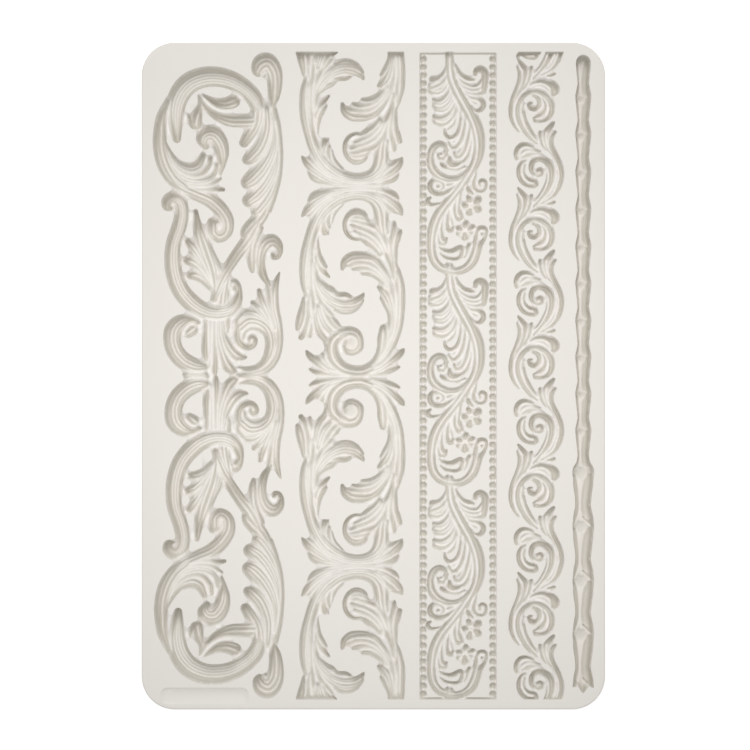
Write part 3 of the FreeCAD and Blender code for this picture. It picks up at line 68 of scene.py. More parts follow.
# Upper half of the acanthus border; the lower half is its mirror.
ACANTHUS = (
    # great arch and the tongue at its left end
    groove(7, (-61.8, 74.4, 1.3), (-62.2, 78.5, 2.2), (-62.3, 83.5, 2.9), (-61.2, 88, 3.3), (-58.3, 91.8, 3.4),
           (-54, 93.8, 3.3), (-49.5, 94.1, 3.2), (-45, 93.1, 3), (-41, 90.9, 2.8), (-38, 88, 2.7), (-36.5, 85, 2.4)),
    # left band and its fingers
    groove(4, (-64.6, 87, 0.8), (-66.7, 81.5, 1.6), (-67.2, 76, 2.1), (-67, 71.5, 2.3), (-65.6, 66.5, 2.5),
           (-63, 62.3, 2.4), (-60, 60, 2)),
    groove(2, (-66, 74.5, 0.5), (-64, 70.3, 0.8), (-61.5, 67, 1.2), (-58, 65.6, 1.5), (-55.3, 66.4, 1.5),
           (-54, 68.5, 1.1), (-53.6, 69.6, 0.9)),
    groove(1, (-66.3, 73, 0.6), (-64, 68, 0.9), (-60.5, 64.6, 1), (-57, 63.3, 1.1), (-53.9, 64, 1.2),
           (-51.9, 66.3, 1.1), (-51.3, 68.8, 0.8)),
    groove(2, (-64.5, 66.5, 0.9), (-61, 63, 1), (-57, 61.5, 1.1), (-53, 61.7, 1.2), (-50.2, 63.6, 1),
           (-49.3, 66.7, 0.8)),
    groove(1, (-60, 60.6, 1), (-55, 60.1, 1), (-51, 60.7, 1), (-48, 62.1, 0.5)),
    groove(1, (-60, 59, 1), (-54, 58.7, 1.1), (-50, 58.9, 1), (-47.2, 58.6, 0.7)),
    # main stem, ending in a curl
    groove(4, (-66, 66.5, 1), (-63.2, 62, 1.8), (-60, 59.3, 2.1), (-56, 57.4, 2.2), (-51.5, 55.4, 2.4),
           (-48, 52.3, 2.4), (-46.1, 48.8, 2.3), (-46.4, 45.3, 2.1), (-48.6, 43.8, 2), (-50.5, 45.2, 2),
           (-50.6, 47.6, 1.9)),
    groove(1, (-50.8, 48.4, 1.5), (-49.2, 48.5, 1), (-48.4, 47.2, 0.8), (-49, 46.2, 0.6)),
    # comma at the top right
    groove(4, (-31.9, 84.6, 0.8), (-31.3, 88, 1.9), (-31, 92, 2.4), (-31.4, 96, 2.7), (-33.2, 98.7, 2.9),
           (-35.3, 98.3, 2.8), (-36.6, 96.3, 1.8), (-36.3, 94.9, 1)),
    groove(1, (-34.3, 94.6, 1), (-34, 94.6, 1), depth=0.8),
    # wings inside the arch
    groove(3, (-53.6, 88.6, 0.3), (-51.5, 87, 1), (-49, 85.8, 1.6), (-46.3, 85.7, 2), (-44, 86.4, 2.2)),
    groove(3, (-55, 88.2, 0.3), (-53.4, 85.2, 0.9), (-51, 82.9, 1.3), (-48.2, 81.3, 1.7), (-45, 80.4, 2.1),
           (-41.5, 80.3, 2.2), (-38.5, 80.4, 2.2)),
    groove(2, (-55, 88, 0.3), (-54.7, 85, 0.8), (-55.6, 82, 1.8), (-56, 79.6, 2.2)),
    groove(1, (-58.2, 82.2, 0.5), (-57.5, 80.2, 1.2), (-56.5, 79, 1.2)),
    # shell curl
    groove(5, (-52.8, 72.4, 1.3), (-53.8, 74.4, 2), (-52.6, 76.1, 2.6), (-50.4, 75.9, 2.9), (-48.4, 73.3, 2.7),
           (-47.6, 70, 2.2), (-47.7, 66.5, 1.3), (-48.2, 63.4, 0.5)),
    # fan leaf on the right
    groove(3, (-36.6, 86, 2.2), (-36.7, 81.5, 2), (-37.6, 78.3, 1.9), (-39.3, 75.6, 1.9), (-40.7, 73.3, 1.6)),
    groove(4, (-33.8, 84.5, 1.6), (-33.5, 79.5, 1.9), (-34.2, 75.5, 2.2), (-36, 71.6, 2.4), (-38.6, 68.8, 2.2),
           (-39.8, 68, 1.6)),
    groove(5, (-31.7, 81, 1), (-31.3, 74.5, 1.5), (-32.5, 69.5, 2.1), (-34.8, 65.3, 2.7), (-37.6, 62.2, 3),
           (-39.5, 60.9, 2.3)),
    groove(5, (-30.2, 73, 1), (-31, 66.5, 1.7), (-33.3, 61.2, 2.3), (-36.3, 57.3, 2.7), (-39.2, 55.2, 2.2)),
    groove(4, (-29.8, 68, 0.8), (-30.8, 62, 1.5), (-32.8, 57, 2.1), (-35.5, 53.2, 2.3), (-37.1, 51.7, 1.6)),
    groove(1, (-31.3, 84, 1), (-29.9, 78, 1), (-29.3, 70, 1), (-29.8, 63, 1.1), (-31.3, 57.5, 1.3),
           (-33.2, 52.5, 1.5)),
    groove(3, (-33.3, 54, 1.6), (-35.3, 50.3, 2.1), (-37.7, 47.8, 2.3), (-39.6, 45.7, 2.1), (-40.3, 44.5, 1.6)),
    # diagonal stem and the drop beside it
    groove(3, (-36.5, 48.5, 2), (-39, 43.5, 2.2), (-42.3, 39.2, 1.9), (-45, 35.2, 1.8), (-47.4, 31.3, 1.6),
           (-49.2, 27.5, 1.4), (-50.3, 24, 1.1)),
    groove(2, (-36.3, 46.5, 1.8), (-38, 42, 1.8), (-38.5, 38, 1.5), (-38.4, 35, 1.2), (-38.1, 32.9, 0.7)),
    groove(4, (-45.3, 32.3, 0.6), (-46.5, 29.5, 1.6), (-47.3, 26, 2.2), (-47.6, 23.5, 2.2), depth=0.8),
    # small volute
    groove(3, (-32.8, 28.6, 0.6), (-34.6, 31.5, 1.3), (-35.5, 35, 1.5), (-35.4, 38.5, 1.7), (-34.1, 41.6, 2.1),
           (-31.9, 42.7, 2), (-30, 41.4, 1.5), (-29.4, 39.2, 1), (-30.1, 37.5, 0.9), (-31.4, 37.3, 0.9),
           (-31.7, 38.3, 0.7)),
    # horn and outer strip of the big spiral
    groove(2, (-29.5, 32.6, 0.3), (-30.6, 29.5, 1), (-31.2, 26, 1.4), (-31, 21, 1.5), (-30, 16.5, 1.4),
           (-29.5, 12, 1.2), (-29.9, 8, 1.2), (-31.2, 4.6, 1.2), (-33.6, 2, 1.2), (-37, 0.6, 1.1), (-41, 0.2, 1),
           (-43.3, 0.1, 0.6)),
    groove(4, (-42.4, 2.7, 0.4), (-39.5, 2.2, 0.9), (-36.3, 2.9, 1.1), (-33.9, 5, 1.4), (-32.6, 8, 1.7),
           (-32.4, 11.5, 1.8), (-33.6, 14.8, 2), (-36.2, 16.9, 2.1), (-39.5, 17.3, 2.3), (-42, 15.4, 2.1)),
    groove(1, (-42.6, 16, 1.4), (-42.9, 12.8, 1.3), (-42.1, 10.2, 1.4), (-40, 9, 1.2), (-38, 9.6, 1.1),
           (-37.3, 11.3, 1), (-38.3, 12.3, 1), (-39.1, 11.5, 0.8), (-38.8, 10.6, 0.6)),
    groove(1, (-34.6, 13.8, 0.8), (-36.3, 14.9, 1), (-38.5, 15.1, 1.1), (-40.6, 13.9, 1), (-41.2, 11.8, 0.8)),
    groove(1, (-33.4, 28.5, 0.6), (-32.8, 25, 1), (-32.2, 20, 1.3), (-31.2, 15, 1.2)),
    groove(2, (-36, 27, 0.7), (-35.5, 24.8, 1.1), (-34.5, 22, 1.3), (-33, 18.5, 1.3), (-31.7, 15.5, 1.2)),
    groove(2, (-38, 23.1, 0.8), (-36.5, 21.8, 1.1), (-34.8, 19.8, 1.3), (-33, 16.8, 1.2)),
    groove(2, (-41.8, 19.3, 1), (-40, 20, 1.3), (-37.8, 19.8, 1.4), (-35.5, 18.2, 1.3)),
    groove(1, (-41.6, 19.3, 1.1), (-43, 17.5, 1), (-43.8, 14.3, 0.6)),
    # left stem and cradle
    groove(6, (-63.6, 52.7, 0.8), (-64.9, 53.2, 1.4), (-65, 55, 1.7), (-63.2, 56.2, 2), (-61.1, 55, 2.3),
           (-60.3, 51.5, 2.3), (-61.1, 47, 2.4), (-62.8, 42, 2.4), (-63.2, 37, 2.6), (-62.6, 32, 2.7),
           (-60.8, 27.3, 2.8), (-57.6, 23.4, 2.9), (-53.8, 20.8, 2.7), (-49.6, 19.8, 2.5), (-45.6, 20.6, 2.4),
           (-43.2, 23, 1.9), (-42.3, 26.2, 1.2), (-42.9, 29.1, 1), (-44.2, 30, 0.8), (-45.2, 28.5, 0.6)),
    groove(1, (-43.7, 28.2, 0.9), (-43.5, 27.4, 0.9)),
    # centre leaf
    groove(3, (-55.9, 51.8, 0.8), (-55.5, 48.5, 1.3), (-54.6, 44, 2), (-52.9, 38.8, 2.2), (-51.2, 33.8, 1.9),
           (-50.2, 28.5, 1.2), (-50.2, 25, 0.8)),
    groove(2, (-53.5, 47.4, 0.3), (-52.5, 43, 0.9), (-50.8, 38.5, 1.1), (-49, 35, 1.1), (-48.4, 33, 0.9)),
    groove(2, (-58.4, 42.4, 1.2), (-57.2, 40.9, 1.5), (-54.9, 37.5, 1.4), (-52.6, 33, 1.2), (-50.8, 28.5, 0.8)),
    groove(1, (-57.6, 38.9, 0.7), (-56, 37, 1), (-54, 34, 1.1), (-52.1, 31, 0.9)),
    groove(2, (-58.8, 36.4, 1.4), (-57, 35.7, 1.6), (-54.2, 33.2, 1.4), (-51.9, 29.8, 1)),
    groove(1, (-56.8, 33.7, 0.7), (-54.6, 32.3, 1), (-52.2, 29.6, 0.9)),
    groove(2, (-57.8, 31.7, 1.35), (-56, 31.6, 1.6), (-53.6, 30.2, 1.3), (-51.4, 27.7, 0.9)),
    # lower left volute
    groove(2, (-58.2, 13.5, 1.7), (-57, 14.4, 2), depth=0.8),
    groove(5, (-55.2, 16.8, 0.9), (-57.5, 17.8, 1.3), (-60.5, 17.2, 2.2), (-62.8, 14.8, 2.8), (-63.3, 11.2, 2.8),
           (-62.2, 7.6, 2.8), (-59.8, 4.9, 2.8), (-56.6, 3.3, 2.6), (-53.6, 2.9, 1.7)),
    groove(1, (-59.5, 0.6, 0.7), (-56, 0.3, 1), (-52.8, 0.6, 0.9)),
    # stems below the cradle
    groove(1, (-52.9, 17.5, 0.8), (-53, 12, 1), (-53.1, 8, 1.1), (-52.7, 5, 0.8)),
    groove(1, (-51.4, 17, 0.7), (-51.5, 10, 0.7), (-51.4, 5, 0.6), (-52.5, 2.5, 0.7)),
    groove(1, (-50.3, 17, 0.8), (-50.3, 10, 0.9), (-50, 5, 1.2), (-50, 1.5, 1), (-50, 0.1, 0.3)),
    groove(2, (-49.1, 17, 0.7), (-48.7, 11, 1.1), (-47.5, 6.5, 1.5), (-46, 3.2, 1.7), (-44.2, 1.4, 1.4)),
    groove(2, (-47.8, 17, 0.7), (-47, 12.3, 1.2), (-45.4, 8.7, 1.7), (-43.3, 6.4, 1.7), (-41, 5.8, 0.9),
           (-39.8, 5.9, 0.3)),
    groove(1, (-46, 18, 1), (-45.9, 15, 0.8), (-46.3, 12.6, 0.2)),
    groove(1, (-44.2, 17.3, 0.25), (-44.5, 15, 0.3), (-44.4, 13.3, 0.2)),
)

# One unit of the broad scroll border; its neighbours are mirrors of it.
BROAD_SCROLL = (
    # lower volute
    groove(1, (-7.6, 10.4, 2.3), (-6.7, 10.2, 3.4), depth=0.8),
    groove(2, (-9.3, 9.2, 0.5), (-8.2, 7.8, 1.1), (-6.3, 7.5, 1.2), (-4.5, 8.8, 1.3), (-4.2, 11, 1.2),
           (-5.3, 13.3, 1.5), (-7.5, 14.1, 1.6), (-10.3, 13.6, 1.8)),
    groove(2, (-8.5, 13.4, 1.3), (-11, 12.6, 1.9), (-12.9, 10.4, 2.1), (-13.2, 7.6, 2.2), (-12.3, 4.8, 2.2),
           (-10, 2.6, 2.1), (-7, 1.5, 1.9), (-3.5, 1.4, 1.8), (-0.8, 2.4, 1.6)),
    groove(1, (-11.6, 8.4, 0.6), (-10.9, 5.6, 0.8), (-8.9, 3.5, 0.9), (-6, 2.5, 0.9), (-3, 2.7, 0.9),
           (-0.3, 4.2, 1), (1.3, 6.4, 1), (2, 9.2, 0.9), (2.1, 12, 0.9), (2.7, 15.4, 0.7)),
    # leaf at the lower left
    groove(2, (-21.1, 7.9, 0.4), (-20, 6.3, 1.1), (-17.8, 4.3, 1.2), (-15, 2.3, 1.2), (-11, 0.9, 1)),
    groove(1, (-20.1, 2.2, 0.4), (-18, 1.2, 0.9), (-14, 0.6, 0.9), (-8, 0.2, 0.8)),
    groove(1, (-17.8, 5.7, 0.9), (-16, 3.9, 1), (-14, 2.3, 1)),
    groove(1, (-16, 7, 0.6), (-15.4, 4.8, 0.8), (-13.9, 2.6, 0.8)),
    # leaf at the lower right
    groove(2, (9.6, 8.5, 0.35), (8.6, 7.2, 1.1), (6.5, 5.2, 1.2), (4, 3.3, 1.1), (1, 1.6, 1), (-3, 0.6, 0.8)),
    groove(1, (8.1, 2.8, 0.5), (6, 1.9, 0.9), (3, 0.9, 0.9), (-1, 0.2, 0.7)),
    # right stem
    groove(1, (7.5, 35.2, 0.15), (8, 32.5, 0.8), (9.1, 28.5, 0.8), (9.3, 24, 0.8), (9.1, 20, 0.8),
           (8.6, 16, 0.8), (7.6, 12.5, 0.8), (6.2, 9.3, 0.9), (4.2, 6, 1), (1.8, 3.7, 1), (-2, 2, 0.8)),
    groove(1, (7.4, 33, 0.7), (7.6, 29, 0.8), (7.8, 24, 0.7), (7.8, 19, 0.7), (7.3, 15, 0.7), (6.2, 11.6, 0.7),
           (4.6, 8.3, 0.8), (2.4, 5.2, 0.8)),
    groove(2, (1.2, 28.1, 0.3), (2.8, 27, 1.2), (4.5, 24.6, 1.4), (5.6, 21, 1.1), (6.1, 17, 0.9), (5.5, 13, 0.8),
           (4.2, 9.4, 0.9)),
    groove(1, (5.3, 28.5, 0.9), (6.3, 25, 0.9), (6.6, 21, 0.7), (6.9, 17.5, 0.5)),
    groove(1, (2.2, 24.6, 0.4), (3.6, 22.6, 0.8), (4.9, 19.6, 0.7), (5.2, 16, 0.7), (4.9, 13, 0.6)),
    groove(1, (3.3, 15.7, 0.7), (3.8, 13, 1), (3.5, 9.6, 1), (2.3, 6.6, 0.9), (0, 3.8, 0.8)),
    # long sliver on the right
    groove(1, (8.4, 45.5, 0.8), (7.7, 43.4, 1), (7, 41, 0.9), (6.9, 38, 0.8), (7.1, 35.4, 0.5), (7.4, 33, 0.5)),
    groove(1, (6.6, 49, 0.15), (6.6, 47.6, 0.7), (6.2, 45, 0.9), (5.6, 42, 1), (5.7, 38.5, 1), (6.2, 35, 0.8),
           (6.5, 31, 0.8)),
    # arch over the upper volute
    groove(2, (4.3, 45, 0.7), (4, 48.5, 0.8), (4, 51, 0.8), (3.2, 54, 1), (1.2, 56.3, 1.1), (-2, 57.6, 1),
           (-6, 57.8, 0.9), (-10, 57, 0.9), (-14, 55, 1), (-17, 52, 1.1), (-19.2, 48, 1.1), (-20.8, 43, 1.1),
           (-21.9, 38, 1.2), (-22.3, 33, 1.1), (-22, 28.5, 0.9), (-21.3, 25.4, 0.5), (-21.1, 24.1, 0.2)),
    groove(2, (3.9, 42, 1), (2.9, 45, 1.2), (2.2, 48, 1.7), (1.9, 50.8, 1.8), (1.1, 53.4, 1.6), (-1, 55.5, 1.3),
           (-5, 56.4, 1.1), (-9.5, 55.5, 1.2), (-13, 53.3, 1.2), (-16, 50.3, 1.1), (-18.2, 46, 1), (-19.6, 41, 0.9),
           (-20.5, 36, 0.8), (-20.9, 31, 0.8), (-20.5, 27.4, 0.7)),
    groove(1, (-17.5, 48.6, 0.6), (-18.7, 44, 0.7), (-19.4, 39.5, 0.7), (-19.8, 34, 0.8), (-19.7, 29, 0.8),
           (-19.3, 24.5, 0.9), (-19.1, 21.5, 0.9), (-19, 19.6, 0.6)),
    # leaf at the upper left
    groove(2, (-20.4, 55.1, 0.5), (-18.6, 56.9, 1.2), (-15.5, 58.1, 1), (-11, 58.8, 0.8), (-4, 59.1, 0.8),
           (3, 59, 0.6)),
    groove(2, (-22.5, 50.1, 0.35), (-20.8, 52.5, 1.2), (-18, 54.9, 1.2), (-14.5, 57, 1), (-10, 58.4, 0.8)),
    groove(1, (-20.5, 50.4, 0.4), (-19, 52, 0.8), (-16.5, 54.4, 0.8), (-13, 56.6, 0.7)),
    # leaf at the upper right
    groove(2, (9.1, 50.4, 0.25), (8.4, 52.4, 1), (6.8, 54.3, 1.2), (4.4, 56, 1.1), (1, 57.7, 0.8)),
    groove(1, (7.9, 55.8, 0.4), (6.6, 57.2, 0.9), (4.4, 58.2, 0.8), (1, 58.8, 0.7)),
    groove(1, (8.4, 50.9, 0.35), (6, 52.2, 0.8), (4.2, 53.6, 0.9), (2.6, 55.6, 0.8)),
    # fingers under the arch
    groove(2, (-15.3, 45.2, 1.1), (-15.9, 48, 0.8), (-15.7, 51, 0.6), (-14.3, 53.2, 0.6)),
    groove(1, (-14.1, 44.4, 0.3), (-14.4, 45.4, 0.5), depth=0.9),
    groove(1, (-13.9, 46.8, 0.6), (-14.2, 49, 0.7), (-13.5, 51.6, 0.6), (-11.8, 53.4, 0.5)),
    groove(1, (-12.9, 48.2, 0.25), (-12.6, 50, 0.45), (-11.7, 51.8, 0.5), (-9.7, 54, 0.5)),
    # dark sliver left of the land
    groove(1, (-17.4, 44.4, 0.15), (-17.4, 41, 0.5), (-17, 38, 0.8), (-16.1, 35.8, 1), (-14.9, 34.3, 0.6)),
    groove(1, (-13.9, 31.1, 0.45), (-15.2, 32.4, 0.8), (-16.9, 34.2, 0.8), (-18, 37, 0.6), (-18.3, 40, 0.4)),
    # fan leaf in the middle
    groove(2, (-17.2, 30.4, 0.5), (-15, 28.2, 1), (-13.3, 27.2, 1.2), (-12, 26.3, 0.8)),
    groove(1, (-13.3, 26, 0.6), (-10.6, 25.6, 0.9), (-8.8, 25.6, 0.9), (-7.2, 25, 0.6)),
    groove(2, (-3, 26.1, 0.3), (-3.8, 24.8, 0.9), (-6, 23.5, 1.2), (-9, 23, 1.1), (-12, 23.7, 1.1),
           (-14.5, 25.4, 1.1), (-16.8, 28, 1), (-18, 31.5, 0.9), (-18.6, 35, 0.7)),
    groove(2, (-3.3, 23.7, 0.5), (-5, 21.9, 0.9), (-8, 21, 1.1), (-11, 21.4, 1.1), (-13.8, 23, 1.1),
           (-16.2, 25.5, 1), (-17.8, 28.6, 0.9), (-18.9, 33, 0.7)),
    groove(1, (-4.9, 21.2, 0.5), (-7, 20.1, 0.6), (-9.5, 19.9, 0.6), (-12, 20.9, 0.8)),
    groove(1, (-12.8, 19.1, 0.45), (-14.2, 20.4, 0.9), (-16.2, 22.8, 0.9), (-17.6, 25.8, 0.9), (-18.6, 29.5, 0.7)),
    # long drop on the left
    groove(2, (-23.8, 14.8, 0.8), (-23.3, 16.8, 1.3), (-22.7, 19.5, 1.3), (-22.3, 22, 0.9), (-22, 24.5, 0.5)),
    groove(1, (-22.8, 12, 0.9), (-22, 13.4, 1), (-21.2, 15.5, 1), (-20.6, 18.4, 0.9), (-20.4, 21.5, 0.8),
           (-20.3, 25, 0.6)),
    groove(1, (-20, 12.3, 0.6), (-19.8, 15, 0.8), (-19.5, 18, 0.5)),
    # palm below the drop
    groove(2, (-18.3, 20, 0.9), (-18, 16.5, 1.1), (-16.9, 13.6, 1.2), (-15.2, 11.4, 1), (-14.6, 9, 0.8)),
    groove(2, (-17.5, 22, 0.9), (-16.5, 18.3, 1.1), (-15.2, 15.7, 1.2), (-13.2, 13.6, 1)),
    groove(1, (-15.8, 21, 0.9), (-14.7, 18.7, 1), (-13.2, 16.6, 1), (-11.5, 15, 0.9)),
    groove(1, (-12.9, 18.3, 0.5), (-11.8, 17.1, 0.8), (-10.7, 15.7, 0.6)),
    # upper volute
    groove(2, (-1.9, 49.4, 0.3), (-2.8, 50.8, 0.9), (-4.3, 51.6, 1.1), (-6, 51.7, 1.1), (-7.9, 50.5, 0.9),
           (-9, 48.4, 0.75), (-8.9, 46, 0.7), (-7.7, 44, 0.7), (-5.8, 43, 0.6), (-4, 43, 0.5)),
    groove(1, (-1.2, 48.6, 0.5), (-3.6, 49.7, 0.9), (-6, 50, 0.8), (-7.3, 49.4, 0.4)),
    groove(1, (-7.3, 49, 0.4), (-5.5, 48.9, 0.8), (-3.3, 48.2, 0.9), (-1, 47.6, 1), (1.2, 46.4, 1), (3, 43.8, 1),
           (4.3, 40.5, 0.9), (5.3, 37, 0.7)),
    groove(1, (-7.1, 47.5, 0.55), (-5, 46.7, 0.8), (-2.3, 45.8, 0.9), (0.2, 44.4, 0.9), (2.3, 42, 0.9),
           (3.5, 39.5, 0.8)),
    groove(1, (-6, 45.6, 0.5), (-3.6, 44.6, 0.8), (-1, 43.3, 0.9), (1.3, 41.2, 0.9), (2.8, 38.8, 0.8)),
    groove(1, (-3.9, 43, 0.45), (-2, 41.8, 0.9), (0.3, 40.2, 0.9), (2, 38.3, 0.9)),
    groove(1, (3.4, 39.5, 0.6), (4.4, 38, 1), (5.3, 36, 1), (6, 33.5, 0.8), (6.5, 30.5, 0.7)),
    # long leaf on the right with four tips
    groove(2, (-9.8, 33.6, 0.6), (-9, 35.9, 1.3), (-7, 37.5, 1.5), (-4, 37.9, 1.4), (-1.2, 37.5, 1.2),
           (1, 36.3, 1.1), (3, 34, 1), (4.6, 31.2, 0.9), (5.8, 28, 0.8), (6.6, 24, 0.6)),
    groove(1, (-8.4, 34.9, 0.6), (-6.6, 35.3, 0.8), (-4, 35.6, 0.8), (-1.2, 35.2, 0.8), (1, 33.9, 0.8),
           (3, 31.8, 0.8), (4.7, 29, 0.8)),
    groove(1, (-6.5, 33.5, 0.5), (-4, 33.9, 0.8), (-1.3, 33.6, 0.8), (1, 32.5, 0.8), (3, 30.5, 0.8), (4.5, 28, 0.8)),
    groove(1, (-3.6, 32.1, 0.5), (-1.5, 32, 0.7), (0.6, 31.3, 0.8), (2.5, 29.9, 0.8), (4, 28, 0.7)),
)

